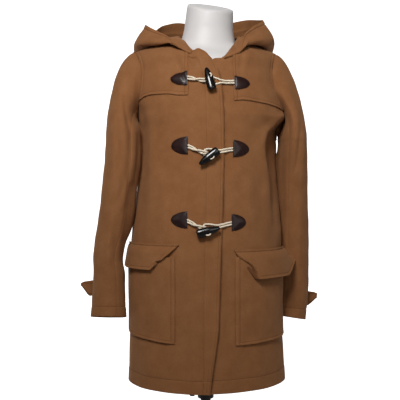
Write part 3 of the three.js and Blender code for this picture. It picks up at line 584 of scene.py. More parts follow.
def make_wool():
    """Wool melton: matt and softly mottled, with a short nap, and with painted shade that darkens it in its
    stitched grooves and creases. The mottling is about 30 mm wide. The nap, 2.4 mm, and the fibres, 0.7 mm,
    are drawn coarser than they are so that they show."""
    material, tree, shader = new_material("wool_melton")
    place = add_node(tree, "ShaderNodeTexCoord", {})["Object"]
    mottle, nap, fibre = (
        add_node(
            tree, "ShaderNodeTexNoise", {"Vector": place, "Scale": scale, "Detail": detail, "Roughness": rough}
        )["Fac"]
        for scale, detail, rough in ((34.0, 4.0, 0.55), (420.0, 3.0, 0.7), (1500.0, 2.0, 0.6))
    )
    both = add_node(tree, "ShaderNodeMath", {0: mottle, 1: nap}, operation="ADD")[0]
    half = add_node(tree, "ShaderNodeMath", {0: both, 1: 0.5}, operation="MULTIPLY")[0]
    stops = [(0.34, "#7A4E2D"), (0.5, "#815533"), (0.66, "#885C3A")]
    colour = add_node(tree, "ShaderNodeValToRGB", {"Fac": half}, stops)["Color"]
    # Painted shade: the groove attribute darkens the colour towards #3A1D0C in creases and stitched grooves
    groove = add_node(tree, "ShaderNodeAttribute", {}, attribute_name="groove")["Fac"]
    share = add_node(tree, "ShaderNodeMath", {0: groove, 1: 0.6}, operation="MULTIPLY")[0]
    inputs = {0: share, 6: colour, 7: linear("#3A1D0C")}
    crease_shaded_colour = add_node(tree, "ShaderNodeMix", inputs, data_type="RGBA")[2]
    inputs = {"Height": nap, "Strength": 0.35, "Distance": 0.0008}
    coarse = add_node(tree, "ShaderNodeBump", inputs)["Normal"]
    inputs = {"Height": fibre, "Strength": 0.3, "Distance": 0.0003, "Normal": coarse}
    set_inputs(tree, shader, {
        "Roughness": 0.93, "Specular IOR Level": 0.18, "Sheen Weight": 0.25, "Sheen Roughness": 0.6,
        "Sheen Tint": linear("#C89A70"), "Base Color": crease_shaded_colour,
        "Normal": add_node(tree, "ShaderNodeBump", inputs)["Normal"],
    })
    return material


def make_leather():
    """Dark brown smooth leather: a low gleam, lighter where it is worn in patches of about 17 mm, and a fine
    grain, drawn at 1.1 mm so that it shows."""
    material, tree, shader = new_material("patch_leather")
    place = add_node(tree, "ShaderNodeTexCoord", {})["Object"]
    inputs = {"Vector": place, "Scale": 60.0, "Detail": 4.0, "Roughness": 0.55}
    wear = add_node(tree, "ShaderNodeTexNoise", inputs)["Fac"]
    stops = [(0.3, "#1A0C0A"), (0.6, "#27130F"), (0.85, "#36201A")]
    grain = add_node(tree, "ShaderNodeTexVoronoi", {"Vector": place, "Scale": 900.0})["Distance"]
    inputs = {"Height": grain, "Strength": 0.25, "Distance": 0.0004}
    set_inputs(tree, shader, {
        "Roughness": 0.36, "Specular IOR Level": 0.32,
        "Base Color": add_node(tree, "ShaderNodeValToRGB", {"Fac": wear}, stops)["Color"],
        "Normal": add_node(tree, "ShaderNodeBump", inputs)["Normal"],
    })
    return material


def make_horn():
    """Polished near-black horn: glossy, with faint brown streaks about 6 mm wide and 30 mm long."""
    material, tree, shader = new_material("polished_horn")
    place = add_node(tree, "ShaderNodeTexCoord", {})["Object"]
    streaks = add_node(tree, "ShaderNodeMapping", {"Vector": place, "Scale": (1, 1, 0.2)})[0]
    inputs = {"Vector": streaks, "Scale": 160.0, "Detail": 5.0, "Roughness": 0.55}
    cloud = add_node(tree, "ShaderNodeTexNoise", inputs)["Fac"]
    stops = [(0.4, "#070505"), (0.62, "#120D0B"), (0.8, "#2A1C15")]
    set_inputs(tree, shader, {
        "Roughness": 0.2, "Specular IOR Level": 0.35, "Coat Weight": 0.15, "Coat Roughness": 0.08,
        "Base Color": add_node(tree, "ShaderNodeValToRGB", {"Fac": cloud}, stops)["Color"],
    })
    return material


def plain_finish(name, patterns, stops, strength, distance, values):
    """A finish whose colour follows its first pattern and whose relief follows its last one."""
    material, tree, shader = new_material(name)
    place = add_node(tree, "ShaderNodeTexCoord", {})["Object"]
    noises = []
    for scale, rough in patterns:
        inputs = {"Vector": place, "Scale": scale, "Detail": 3.0, "Roughness": rough}
        noises.append(add_node(tree, "ShaderNodeTexNoise", inputs)["Fac"])
    inputs = {"Height": noises[-1], "Strength": strength, "Distance": distance}
    set_inputs(tree, shader, {
        "Base Color": add_node(tree, "ShaderNodeValToRGB", {"Fac": noises[0]}, stops)["Color"],
        "Normal": add_node(tree, "ShaderNodeBump", inputs)["Normal"],
        **values,
    })
    return material


WOOL = make_wool()
LEATHER = make_leather()
HORN = make_horn()
# Cream cotton: matt, with its spun fibres drawn at 1.1 mm so that they show
CORD = plain_finish(
    "cotton_cord", [(900.0, 0.7)], [(0.3, "#C9B79A"), (0.55, "#E2D5BF"), (0.75, "#EFE6D6")], 0.4, 0.0004,
    {"Roughness": 0.85, "Sheen Weight": 0.2},
)
# The form's satin white moulded shell: even, with a very faint cloudiness of about 110 mm and a slight
# unevenness of 2 mm that softens its gleam
FORM = plain_finish(
    "form_shell", [(9.0, 0.55), (500.0, 0.55)], [(0.3, "#C6C2C0"), (0.7, "#D0CDCC")], 0.08, 0.0003,
    {"Roughness": 0.5},
)
# Black powder coat on steel: a low sheen with fine specks, drawn at 1.4 mm so that they show
STAND = plain_finish(
    "black_powder_coat", [(700.0, 0.55)], [(0.3, "#0F0F11"), (0.7, "#1A1A1D")], 0.3, 0.0003,
    {"Roughness": 0.45},
)

# Fronts and back

BODY_V = np.concatenate([
    HEM_Z + marks(ARMPIT_Z - HEM_Z, 4.6, 30.0),
    ARMPIT_Z + marks(UPPER_SPAN, 2.0)[1:],
])
# How far the upper front's stitching lies from its edge, by height
STITCH_D = table("z d", [[300, 15], [343, 19], [480, 31], [615, 37], [692, 38], [860, 41], [1045, 40]])


# The line of the right side's drag fold in the photograph's frame, and how deep the cloth falls behind it
DRAG = table("y x deep", [
    [110, 290, 0], [117, 284, 10], [123, 277.5, 26], [128, 271.5, 38], [134, 267, 44], [148, 264.5, 44],
    [165, 266.5, 40], [185, 269, 30], [205, 270, 18], [232, 272, 0],
])


def side_recess(point, s):
    px, py = picture(point)
    at = DRAG(py)
    at_armhole = smooth(0.965, 1, s) * smooth(890, 925, point[..., 2])
    return at["deep"] * smooth(-0.5, 4.5, px - at["x"]) * (1 - at_armhole)


def body_piece(face, side, s, v, lift):
    """Points and normals of a body surface with its folds."""
    normal = body_normal(face, side, s, v)
    point = body_point(face, side, s, v)
    relief = front_relief(point, normal) if face == "front" else unevenness(point, 3)
    if side > 0:
        share = 1 if face == "front" else smooth(0.8, 1, s)
        point = point + np.array([0, 1, 0]) * (side_recess(point, s) * share)[..., None]
    return point + normal * (lift + relief)[..., None], normal


def hem_relief(v):
    d = v - HEM_Z
    return 0.6 * (1 - smooth(28.5, 30.5, d)) - 0.7 * bump_at(d, 30, 1.2)


EDGE_SHADE = 0.7  # how dark the shadow line along the upper front's edge is


def edge_line(points):
    x = points[..., 0]
    return bump_at(x - over_edge(points[..., 2]), 1.0, 2.2) * (1 - smooth(1040, 1060, points[..., 2]))


# Each front's free edge follows its line up to this share of the upper part, and from there the neck
EDGE_HELD = 0.7
HELD_V = np.minimum(BODY_V, ARMPIT_Z + UPPER_SPAN * EDGE_HELD)
SEAM_S = 0.9995  # where the body's pieces end, a hair before the seam's middle


def free_edge(side, edge):
    """s at which each row of a front starts."""
    fade = 1 - smooth(EDGE_HELD, 0.74, (BODY_V - ARMPIT_Z) / UPPER_SPAN)
    return (np.minimum(0, edge_s(side, HELD_V, edge)) * fade)[:, None]


def front_over():
    v = BODY_V[:, None]
    start = free_edge(-1, over_edge)
    line = edge_s(-1, HELD_V, lambda z: over_edge(z) - STITCH_D(z)["d"])
    line = np.maximum(line, 0.02)[:, None]
    placket, rest = 40, 150
    near = marks(placket, 4.0, 7.0, 40.0) / placket
    far = marks(rest, 4.2) / rest
    s = np.concatenate([start + (line - start) * near[None], line + (SEAM_S - line) * far[None, 1:]], axis=1)
    relief = np.zeros_like(s)
    d = (near * placket)[None]
    count = len(near)
    relief[:, :count] += 0.8 * (1 - smooth(37, 40, d)) - 0.8 * bump_at(d, 40, 1.2)
    relief[:, :count] -= 0.4 * bump_at(d, 7, 1.0)
    off = 1.0 + 3.5 * (1 - smooth(590, 655, v))
    relief[:, :count] += off * (1 - smooth(0, 22, d))
    relief += hem_relief(v)
    points, normals = body_piece("front", -1, s, v, over_lift(-1, s, v) + relief)
    x = points[..., 0]
    high = smooth(1030, 1082, points[..., 2])
    stand = smooth(-40, -22, x) * (1 - smooth(-9, 15, x)) * high
    points = points + stack(0, -3.5, 14.5) * stand[..., None]
    points = points + stack(0, 0, 3) * (bump_at(x, 17, 8) * high)[..., None]
    cloth("front_over", points, normals, shade=EDGE_SHADE * edge_line(points))


def front_under():
    v = BODY_V[:, None]
    start = free_edge(1, lambda z: -26.0 + 0 * z)
    width = 190
    s = start + (SEAM_S - start) * marks(width, 4.2)[None] / width
    points, normals = body_piece("front", 1, s, v, hem_relief(v) + 0 * s)
    dip = bump_at(points[..., 0], 33, 12) * smooth(1055, 1085, points[..., 2])
    points = points - stack(0, 0, 5.5) * dip[..., None]
    cloth("front_under", points, normals, shade=EDGE_SHADE * edge_line(points))


def back(side, name):
    v = BODY_V[:, None]
    width, first = 185, 0.0004
    d = marks(width, 4.6, 6.0)
    s = (first + (SEAM_S - first) * d / width)[None]
    relief = hem_relief(v) + 0.4 * (1 - smooth(4.8, 6.2, d))[None] - 0.5 * bump_at(d, 6, 1.1)[None]
    points, normals = body_piece("back", side, s, v, relief)
    cloth(name, points, normals)


front_over()
front_under()
for side, word in SIDES:
    back(side, "back_" + word)

# Pieces sewn on the fronts


def on_front_piece(side, s, v, lift):
    return body_piece("front", side, s, v, over_lift(side, s, v) + lift)


YOKE_THICK = 2.2
# Height of each yoke's lower edge by the distance from the centre
YOKE_LOW = {
    -1: table("x z", [[48, 985.5], [62, 987], [84, 993], [120, 995], [140, 993], [165, 983]]),
    1: table("x z", [[57, 974], [78, 977.6], [100, 975.5], [150, 970.5], [187, 963]]),
}
# How far from the centre each yoke's lower edge starts and ends
YOKE_INNER = {-1: 48, 1: 58}
YOKE_REACH = {-1: 163, 1: 187}


def yoke(side, name):
    width, high = 108.0, 62.0
    p = marks(width, 4.0, STITCH, width - 7)[None] / width
    inner = YOKE_INNER[side]
    reach = inner + (YOKE_REACH[side] - inner) * p
    _, low = on_front(side, side * reach, YOKE_LOW[side](reach)["z"])
    q = marks(high, 2.6, STITCH / 1.6)[:, None] / high
    v = low + (V_TOP - 1.5 - low) * q
    inner_s = np.maximum(0.06, edge_s(side, v, lambda z: side * inner + 0 * z))
    s = inner_s + (0.985 - inner_s) * p
    in_corner = (p * width < STITCH) * (q * high * 1.6 < STITCH)
    relief = stitched(p * width) + stitched(q * high * 1.6) - 0.9 * in_corner
    relief = relief - 1.1 * bump_at((1 - p) * width, 7, 1.4)
    points, normals = on_front_piece(side, s, v, YOKE_THICK + 0.2 + relief)
    cloth(name, points, normals, YOKE_THICK)


for side, word in SIDES:
    yoke(side, "yoke_" + word)

POCKET_TOP = 610
FLAP_FALL = 60  # how far a flap hangs down from its seam


def pocket(side, name, inner, bottom, tilt):
    width, high = 112.0, 202.0
    d = marks(width, 4.0, STITCH, width - STITCH)
    h = marks(high, 4.2, STITCH)
    p, q = (d / width)[None], (h / high)[:, None]
    z = bottom + tilt * p + (POCKET_TOP - bottom - tilt * p) * q
    start, _ = on_front(side, side * inner + 0 * z, z)
    s = start + (0.955 - start) * p
    full = np.sin(math.pi * p) ** 0.7 * smooth(0, 0.35, q) * (0.6 + 0.4 * q)
    edges = np.minimum(np.minimum(p * width, (1 - p) * width), q * high)
    low = 3.0 * np.exp(-((q * high / 7) ** 2)) * smooth(0, 0.12, p) * smooth(0, 0.3, 1 - p)
    lift = 6 * full + stitched(edges) + WALL + 0.3 + low
    points, normals = on_front_piece(side, s, z, lift)
    cloth(name, points, normals)


pocket(-1, "pocket_left", 79, 413, 10)
pocket(1, "pocket_right", 59, 408, 4)

FLAPS = [
    {"name": "flap_left", "side": -1, "inner": 70, "slant": 57, "top": 640, "drop": 0,
     "outer_kick": 2, "inner_kick": 9, "end": 0.93, "outer_rise": 0.04},
    {"name": "flap_right", "side": 1, "inner": 55, "slant": 46, "top": 627, "drop": -8,
     "outer_kick": 26, "inner_kick": 14, "end": 0.975, "outer_rise": 0.45},
]
# The line in the photograph's frame past which a flap's inner corner is folded under
FLAP_CORNER = {
    -1: table("y x deep", [[257, 172, 0], [260, 162, 3.0], [262, 154.5, 8.0], [266, 153.5, 9.0], [272, 152.5, 9.0]]),
    1: table("y x deep", [[254, 239, 0], [258, 242.5, 5.0], [264.3, 251.5, 9.0], [269, 256.5, 10.0], [274, 259, 10.0],
                          [280, 261, 10.0]]),
}


def flap(name, side, inner, slant, top, drop, outer_kick, inner_kick, end, outer_rise):
    width, high = 100.0, 62.0
    d = marks(width, 1.9, STITCH, width - STITCH)
    h = marks(high, 1.9, STITCH, high - 5.0)
    p, q = (d / width)[None], (h / high)[:, None]
    down = 1 - q
    z = top - (FLAP_FALL - drop) * down * (1 - outer_rise * smooth(0.62, 1, p))
    slanted = 0.85 * down + 0.15 * smooth(0, 1, down)
    start, _ = on_front(side, side * (inner + slant * slanted) + 0 * z, z)
    full = np.sin(math.pi * p) ** 0.7
    stand = 3.1 * smooth(0, 0.25, down) + 7.6 * smooth(0, 0.4, down) * full
    kick = down ** 1.6 * (outer_kick * p ** 3 + inner_kick * (1 - p) ** 3 + 3.5)
    edges = np.minimum(np.minimum(p * width, (1 - p) * width), q * high)
    top_seam = 0.8 * (1 - smooth(3.9, 5.2, down * high)) - 1.1 * bump_at(down * high, 5, 1.1)
    lift = stand + kick + stitched(edges) + top_seam + WALL + 0.9
    s = start + (end - start) * p
    px, py = picture(on_front_piece(side, s, z, lift)[0])
    corner = FLAP_CORNER[side](py)
    folded = smooth(0, 1.8, side * (corner["x"] - px)) * corner["deep"]
    points, normals = on_front_piece(side, s, z, lift - folded)
    cloth(name, points, normals, shade=0.11 * folded)


for row in FLAPS:
    flap(**row)

# Sleeves

SLEEVE = {
    -1: table("z x y wide deep", [
        [457, -239, -25, 43, 42],
        [520, -238, -26, 40, 43],
        [560, -237, -27, 38, 45],
        [597, -240, -28, 35.5, 47],
        [635, -235, -29, 37.5, 48],
        [670, -226, -30, 41, 50],
        [712, -219, -32, 42.5, 52],
        [775, -212, -32, 42.5, 56],
        [845, -204, -30, 43.5, 60],
        [900, -203, -25, 42, 64],
    ]),
    1: table("z x y wide deep", [
        [437, 223, 60, 42, 43],
        [535, 231, 55, 41, 44],
        [590, 230, 50, 41, 46],
        [694, 228, 41, 40, 50],
        [735, 226, 36, 39, 53],
        [796, 224, 28, 38, 58],
        [845, 222, 20, 37, 63],
        [893, 219, 12, 36.5, 68],
    ]),
}
SLEEVE_END = {
    -1: {"top": 900, "cuff": 457, "front_rise": 9, "outer_drop": -1},
    1: {"top": 893, "cuff": 437, "front_rise": 5, "outer_drop": 7},
}
CAP_SHARE = 0.34  # the share of a sleeve's length that is its cap, from the armhole to the straight part
CAP_WIDE = {-1: 132, 1: 116}  # how strongly each cap swells out over the shoulder
SLEEVE_LONG = 445  # the length below the cap
SLEEVE_ROUND = 42  # a sleeve's mean radius


def armhole_point(side, angle):
    k = (1 - np.cos(angle)) / 2
    v = ARMPIT_Z + UPPER_SPAN * k
    one = np.ones_like(v)
    front = body_point("front", side, one, v)
    rear = body_point("back", side, one, v)
    return np.where((np.sin(angle) >= 0)[..., None], front, rear)


def sleeve_section(side, z, angle):
    at = SLEEVE[side](z)
    end = SLEEVE_END[side]
    near_cuff = 1 - smooth(end["cuff"], end["cuff"] + 90, z)
    tilt = end["front_rise"] * np.sin(angle) + end["outer_drop"] * np.cos(angle)
    return stack(
        at["x"] - side * at["wide"] * np.cos(angle),
        at["y"] - at["deep"] * np.sin(angle),
        z + tilt * near_cuff,
    )


def sleeve_point(side, angle, w):
    """angle 0 faces the body, 90 degrees the front; w runs from the armhole to the cuff."""
    angle, w = np.broadcast_arrays(angle, w)
    top, cuff = SLEEVE_END[side]["top"], SLEEVE_END[side]["cuff"]
    z = top + (cuff - top) * np.maximum(w - CAP_SHARE, 0) / (1 - CAP_SHARE)
    lower = sleeve_section(side, z, angle)
    t = np.clip(w / CAP_SHARE, 0, 1)[..., None]
    outward = (1 - np.cos(angle)) / 2
    start = armhole_point(side, angle)
    end = sleeve_section(side, np.full_like(z, top), angle)
    span = np.linalg.norm(start - end, axis=-1)
    leave = stack(side * (14 + CAP_WIDE[side] * outward), -34 * np.sin(angle), -16 - 14 * outward)
    arrive = stack(side * 12 * outward, 0 * outward, -span)
    cap = (
        start * (1 + 2 * t) * (1 - t) ** 2
        + leave * t * (1 - t) ** 2
        + end * t * t * (3 - 2 * t)
        + arrive * t * t * (t - 1)
    )
    return np.where((w >= CAP_SHARE)[..., None], lower, cap)


SEAM_ANGLE = math.radians(58)
# How far the inner side at the back leans on the body, by height
SLEEVE_TOUCH = {
    -1: table("z x", [[437, 0], [620, 0], [700, 8], [765, 0], [795, 12], [880, 16], [945, 18], [1000, 0]]),
    1: table("z x", [[437, 0], [560, 6], [700, 12], [845, 16], [866, 0], [903, 0], [922, 14], [960, 14], [1000, 0]]),
}
# How far the inner side stands off the body just under the armpit, where light shows through
SLEEVE_APART = {-1: 0.0, 1: 3.5}


def sleeve(side, part, name):
    straight = (1 - CAP_SHARE) * marks(SLEEVE_LONG, 4.4, 420.0)[1:] / SLEEVE_LONG
    w = np.concatenate([np.linspace(0, CAP_SHARE, 40), CAP_SHARE + straight])
    if part == "upper":
        angle = np.linspace(SEAM_ANGLE, 2 * math.pi - SEAM_ANGLE, 52)
    else:
        angle = np.linspace(-SEAM_ANGLE, SEAM_ANGLE, 26)
    w, angle = w[:, None], angle[None]
    points = sleeve_point(side, angle, w)
    inner_back = smooth(0.0, 0.5, -np.sin(angle)) * smooth(0.0, 0.5, np.cos(angle))
    near = SLEEVE_TOUCH[side](points[..., 2])["x"] * inner_back * smooth(0.05, 0.2, w)
    apart = SLEEVE_APART[side] * bump_at(points[..., 2], 888, 24) * smooth(-0.2, 0.8, np.cos(angle))
    near = near - apart
    points = points - np.array([side, 0, 0]) * near[..., None]
    normals = surface_normals(points)
    axis = sleeve_point(side, np.linspace(0, 2 * math.pi, 24)[None], w)[:, :-1].mean(axis=1, keepdims=True)
    normals = facing_out(normals, points - axis)
    px, py = picture(points)
    facing = smooth(0.0, 0.35, -(normals @ AHEAD))
    relief = SLEEVE_SHARE * creases(px, py, SLEEVE_FOLDS[side]) * facing + unevenness(points, 5)
    to_cuff = (1 - w) / (1 - CAP_SHARE) * SLEEVE_LONG
    relief = relief + 0.5 * (1 - smooth(23.5, 25.5, to_cuff)) - 0.6 * bump_at(to_cuff, 25, 1.2)
    relief = relief - 0.8 * np.exp(-((w * 160 / 2.4) ** 2))
    from_seam = np.minimum(angle - angle.min(), angle.max() - angle) * SLEEVE_ROUND
    relief = relief - 0.7 * np.exp(-((from_seam / 1.8) ** 2))
    points = points + normals * relief[..., None]
    cloth(name, points, normals)


for side, word in SIDES:
    sleeve(side, "upper", "sleeve_upper_" + word)
    sleeve(side, "under", "sleeve_under_" + word)

STRAP = {"high": 38, "thick": 2.6, "free": 36}
# How far each strap's lower edge rises at its free end, where it is folded under
STRAP_RISE = {-1: 26, 1: 20}


def cuff_strap(side, name):
    z0 = 526 if side < 0 else 483
    turn_from, turn_to = math.radians(288), math.radians(214)
    long = 96.0
    p = (marks(long, 3.0, long - 6.0) / long)[None]
    q = (marks(STRAP["high"], 2.6, 6.0, 32.0) / STRAP["high"])[:, None]
    on_sleeve = 0.6
    taper = 1 - 0.12 * smooth(0.9, 1, p)
    z = z0 + STRAP["high"] * (q - 0.5) * taper + (1 - q) * STRAP_RISE[side] * smooth(0.72, 1, p)
    angle = turn_from + (turn_to - turn_from) * np.minimum(1, p / on_sleeve) + 0 * z
    at = SLEEVE[side](z)
    out = unit(stack(-side * np.cos(angle) / at["wide"], -np.sin(angle) / at["deep"], 0 * z))
    foot = stack(at["x"] - side * at["wide"] * np.cos(angle), at["y"] - at["deep"] * np.sin(angle), z)
    free = np.maximum(0, p - on_sleeve) / (1 - on_sleeve) + 0 * z
    points = foot + out * 3.3
    points = points + stack(side * STRAP["free"] * free, -STRAP["free"] * 0.28 * free * (1 - free), -5 * free)
    normals = facing_out(surface_normals(points), out)
    edges = np.minimum(np.minimum(q * STRAP["high"], (1 - q) * STRAP["high"]), (1 - p) * long)
    points = points + normals * stitched(edges, 6.0, 0.5, 0.5)[..., None]
    cloth(name, points, normals, STRAP["thick"])


for side, word in SIDES:
    cuff_strap(side, "cuff_strap_" + word)

# Hood

HOOD = table("m xMid yMid zMid xLow yLow zLow xBelly yBelly zBelly xRim yRim zRim", [
    [0.0, 39.5, -88, 1090, 41, -90.5, 1090.5, 41.5, -92, 1094, 40, -91, 1097],
    [0.15, 60, -78, 1107, 68, -82, 1103, 73, -80, 1109, 70, -68, 1116],
    [0.27, 74, -55, 1128, 90, -64, 1118, 97, -62, 1125, 87, -53, 1137],
    [0.38, 88, -26, 1142, 122, -42, 1122, 131, -40, 1136, 115, -22, 1162],
    [0.5, 104, 6, 1145, 158, 2, 1124, 172, 2, 1140, 147, 18, 1189],
    [0.62, 104, 48, 1140, 162, 52, 1100, 181, 58, 1132, 151, 62, 1203],
    [0.76, 92, 96, 1112, 132, 122, 1035, 158, 140, 1095, 124, 112, 1213],
    [0.88, 56, 122, 1092, 80, 150, 990, 97, 190, 1075, 76, 141, 1217],
    [1.0, 0, 130, 1080, 0, 160, 962, 0, 208, 1060, 0, 152, 1218],
])


# How far each front end of the hood hangs below the rows above
HOOD_DROP = {-1: -5, 1: -13}


def hood_seam(side, m):
    front = body_point("front", side, 0 * m, ARMPIT_Z + UPPER_SPAN * (1 - 0.15 * np.abs(1 - m / 0.5)))
    rear = body_point("back", side, 0 * m, ARMPIT_Z + UPPER_SPAN * (1 - 0.14 * np.abs(1 - m / 0.5)))
    return np.where((m < 0.5)[..., None], front, rear)


def through(corners, w):
    """A centripetal Catmull-Rom curve through corners [n][..., 3], read at w from 0 to 1."""
    last = len(corners) - 1
    ends = [2 * corners[0] - corners[1], *corners, 2 * corners[-1] - corners[-2]]
    place = np.clip(w, 0, 1) * last
    out = np.zeros(np.broadcast_shapes(corners[0].shape, w.shape + (3,)))
    for i in range(last):
        t = np.clip(place - i, 0, 1)[..., None]
        x0, x1, x2, x3 = ends[i : i + 4]
        d0, d1, d2 = (np.maximum(np.sqrt(np.linalg.norm(b - a, axis=-1, keepdims=True)), 1e-3)
                      for a, b in ((x0, x1), (x1, x2), (x2, x3)))
        t1 = ((x1 - x0) / d0 - (x2 - x0) / (d0 + d1) + (x2 - x1) / d1) * d1
        t2 = ((x2 - x1) / d1 - (x3 - x1) / (d1 + d2) + (x3 - x2) / d2) * d1
        value = x1 + t1 * t + (3 * (x2 - x1) - 2 * t1 - t2) * t**2 + (2 * (x1 - x2) + t1 + t2) * t**3
        mine = (place >= i) & ((place < i + 1) | (i == last - 1))
        out = np.where(mine[..., None], value, out)
    return out


def hood_point(side, m, w):
    m, w = np.broadcast_arrays(m, w)
    row = HOOD(m)
    askew = 9 * side * np.sin(math.pi * np.minimum(1, m * 1.1))
    at_back = 9 * bump_at(m, 0.8, 0.12) if side > 0 else 6 * bump_at(m, 0.9, 0.06) - 20 * bump_at(m, 0.72, 0.07)
    drop = HOOD_DROP[side] * (1 - smooth(0, 0.2, m))
    inward = max(side, 0) * (8 * bump_at(m, 0.17, 0.1) - 1.5 * (1 - smooth(0, 0.12, m)))
    drop = drop - 7 * max(side, 0) * bump_at(m, 0.17, 0.1)
    seam = hood_seam(side, m) + np.array([side * 1.5, 0, 0])
    to_back = smooth(0.8, 1, m)
    seam_x = seam[..., 0] + (side * row["xMid"] - seam[..., 0]) * to_back
    corners = [
        stack(seam_x, seam[..., 1], seam[..., 2] + 3 * smooth(0, 0.1, m)),
        stack(side * row["xMid"], row["yMid"], row["zMid"]),
        stack(side * row["xLow"], row["yLow"], row["zLow"]),
        stack(side * row["xBelly"], row["yBelly"], row["zBelly"] + askew * 0.4),
        stack(side * row["xRim"], row["yRim"], row["zRim"] + askew + at_back),
    ]
    rest = stack(0, 0, -4 * max(-side, 0) * bump_at(m, 0.42, 0.16))
    corners = [corner + stack(inward, 0, drop) + rest * (1 <= i <= 3) for i, corner in enumerate(corners)]
    return through(corners, w)


HOOD_DEEP = 210  # from the neck seam to the hood's rim


def hood(side, name):
    m = np.linspace(0, 0.9999, 96)[None]
    w = (marks(HOOD_DEEP, 3.6, 201.0) / HOOD_DEEP)[:, None]
    points = hood_point(side, m, w)
    e = 0.008
    along = hood_point(side, np.minimum(1, m + e), w) - hood_point(side, np.maximum(0, m - e), w)
    up = hood_point(side, m, np.minimum(1, w + e)) - hood_point(side, m, np.maximum(0, w - e))
    normals = unit(np.cross(along, up)) * side
    normals[:, m[0] > 0.97, 0] = 0
    normals = unit(normals)
    px, py = picture(points)
    to_rim = (1 - w) * HOOD_DEEP
    relief = creases(px, py, HOOD_FOLDS) + unevenness(points, 7, 45.0, 0.8)
    relief = relief + stitched(to_rim, 9.0, 0.9, 1.2)
    relief = relief * smooth(0.0, 0.12, m)
    points = points + normals * relief[..., None]
    cloth(name, points, normals, 2.6)


for side, word in SIDES:
    hood(side, "hood_" + word)

# Closures

CLOSURES = [
    {"z": 1018, "left": -49, "left_up": 6.5, "left_size": (38.5, 33),
     "right": 59, "right_up": -1.5, "right_size": (37, 32), "on": 3.1},
    {"z": 861, "left": -48.5, "left_up": 7, "left_size": (38.5, 42),
     "right": 55, "right_up": 0.5, "right_size": (38.5, 40), "on": 0},
    {"z": 692, "left": -50.5, "left_up": 4, "left_size": (37.5, 39),
     "right": 51, "right_up": -2, "right_size": (33, 39), "on": 0},
]
# Where each pair of cords meets its loop: x, and the height over the closure's own
MEETS = [(-4, -1), (-7, -11), (-10, -15)]
# Each toggle's ends, their distance off the cloth, and where the bit of cord lies on its face
TOGGLES = [
    {"blunt": (5.5, -24.5), "tip": (-7.5, 31), "off": 13.4, "bit_at": 0.6, "bit_aside": -4.0},
    {"blunt": (17.5, -5), "tip": (-22.5, -39), "off": 13.2, "bit_at": 0.41, "bit_aside": 5.5},
    {"blunt": (-29, -29), "tip": (23, -14), "off": 15.8, "bit_at": 0.46, "bit_aside": -6.5},
]


def in_front(x, z, lift):
    """Points off the fronts' face at these x and z."""
    x, z, lift = np.broadcast_arrays(np.asarray(x, float), np.asarray(z, float), np.asarray(lift, float))
    out = np.zeros(x.shape + (3,))
    left = x < over_edge(z)
    for side, mine in ((-1, left), (1, ~left)):
        if mine.any():
            s, v = on_front(side, x[mine], z[mine])
            normal = body_normal("front", side, s, v)
            off = over_lift(side, s, v) + lift[mine]
            out[mine] = body_point("front", side, s, v) + normal * off[..., None]
    return out


def patch(name, side, base, z, size, on):
    length, high = size
    p = np.concatenate([marks(length - 3, 2.0, 3.5) / length, [0.95, 0.975, 0.99, 1.0]])[None]
    q = np.linspace(0, 1, 21)[:, None]
    half = (high / 2) * (0.02 + 0.98 * np.sqrt(np.maximum(0, 1 - p**1.9)))
    x = base + side * length * p + 0 * q
    s, v = on_front(side, x, z + half * (2 * q - 1))
    inset = np.minimum(p * length, half * (1 - np.abs(2 * q - 1)))
    dome = 1.4 * (1 - np.exp(-inset / 2.0)) - 0.55 * bump_at(inset, 3.2, 0.8)
    dome = dome + 2.6 * smooth(-0.3, 1, 2 * inset / high)
    points, normals = on_front_piece(side, s, v, on + 1.2 + dome)
    finish_as(wall(name + "_leather", points, normals, 1.2, 0.4), LEATHER, name)


for i, row in enumerate(CLOSURES, 1):
    patch(f"patch_left_{i}", -1, row["left"], row["z"] + row["left_up"], row["left_size"], row["on"])
    patch(f"patch_right_{i}", 1, row["right"], row["z"] + row["right_up"], row["right_size"], row["on"])

TOGGLE_SHAPE = table("t r", [
    [0, 5.5], [0.012, 8.2], [0.05, 9.9], [0.2, 10.6], [0.5, 10.2], [0.75, 7.6], [0.93, 4.4], [0.985, 2.6],
    [1, 0.8],
])
TOGGLE_LENGTH = 55
TOGGLE_FLAT = 0.72  # its thickness as a share of its width
CORD_LAY, BIT_LAY = 11.0, 7.0  # the length in which the strands turn once, in the cords and the short bits


def closed_tube(name, points):
    """An object through closed rings of points, its two ends filled."""
    obj = grid_piece(name, points, ring=True)
    bm = bmesh.new()
    bm.from_mesh(obj.data)
    bmesh.ops.holes_fill(bm, edges=[e for e in bm.edges if e.is_boundary])
    bmesh.ops.recalc_face_normals(bm, faces=bm.faces)
    write_smooth(bm, obj.data)
    return obj


def tube_points(line, radius, twist=0.0):
    """Rings of a cord along a line; with a twist it is laid up from three strands."""
    tangent = unit(np.gradient(line, axis=0))
    side = unit(np.cross(tangent, [0, 1, 0]))
    up = np.cross(side, tangent)
    turn = np.linspace(0, 2 * math.pi, 25)
    along = np.concatenate([[0], np.cumsum(np.linalg.norm(np.diff(line, axis=0), axis=1))])
    phase = turn[None] + (2 * math.pi * along * twist)[:, None]
    strands = 0.84 + 0.16 * np.abs(np.cos(1.5 * turn)) if twist else np.ones_like(turn)
    size = radius * strands[None, :, None]
    return line[:, None] + size * (
        side[:, None] * np.cos(phase)[..., None] + up[:, None] * np.sin(phase)[..., None]
    )


def even_line(path, step=1.0, rounds=3):
    """The path again, at even steps and with its corners eased."""
    path = np.array(path)
    at = np.concatenate([[0], np.cumsum(np.linalg.norm(np.diff(path, axis=0), axis=1))])
    fine = np.linspace(0, at[-1], int(at[-1] / step) + 2)
    line = np.stack([np.interp(fine, at, path[:, c]) for c in range(3)], axis=1)
    for _ in range(rounds):
        line[1:-1] = (line[:-2] + 2 * line[1:-1] + line[2:]) / 4
    return line


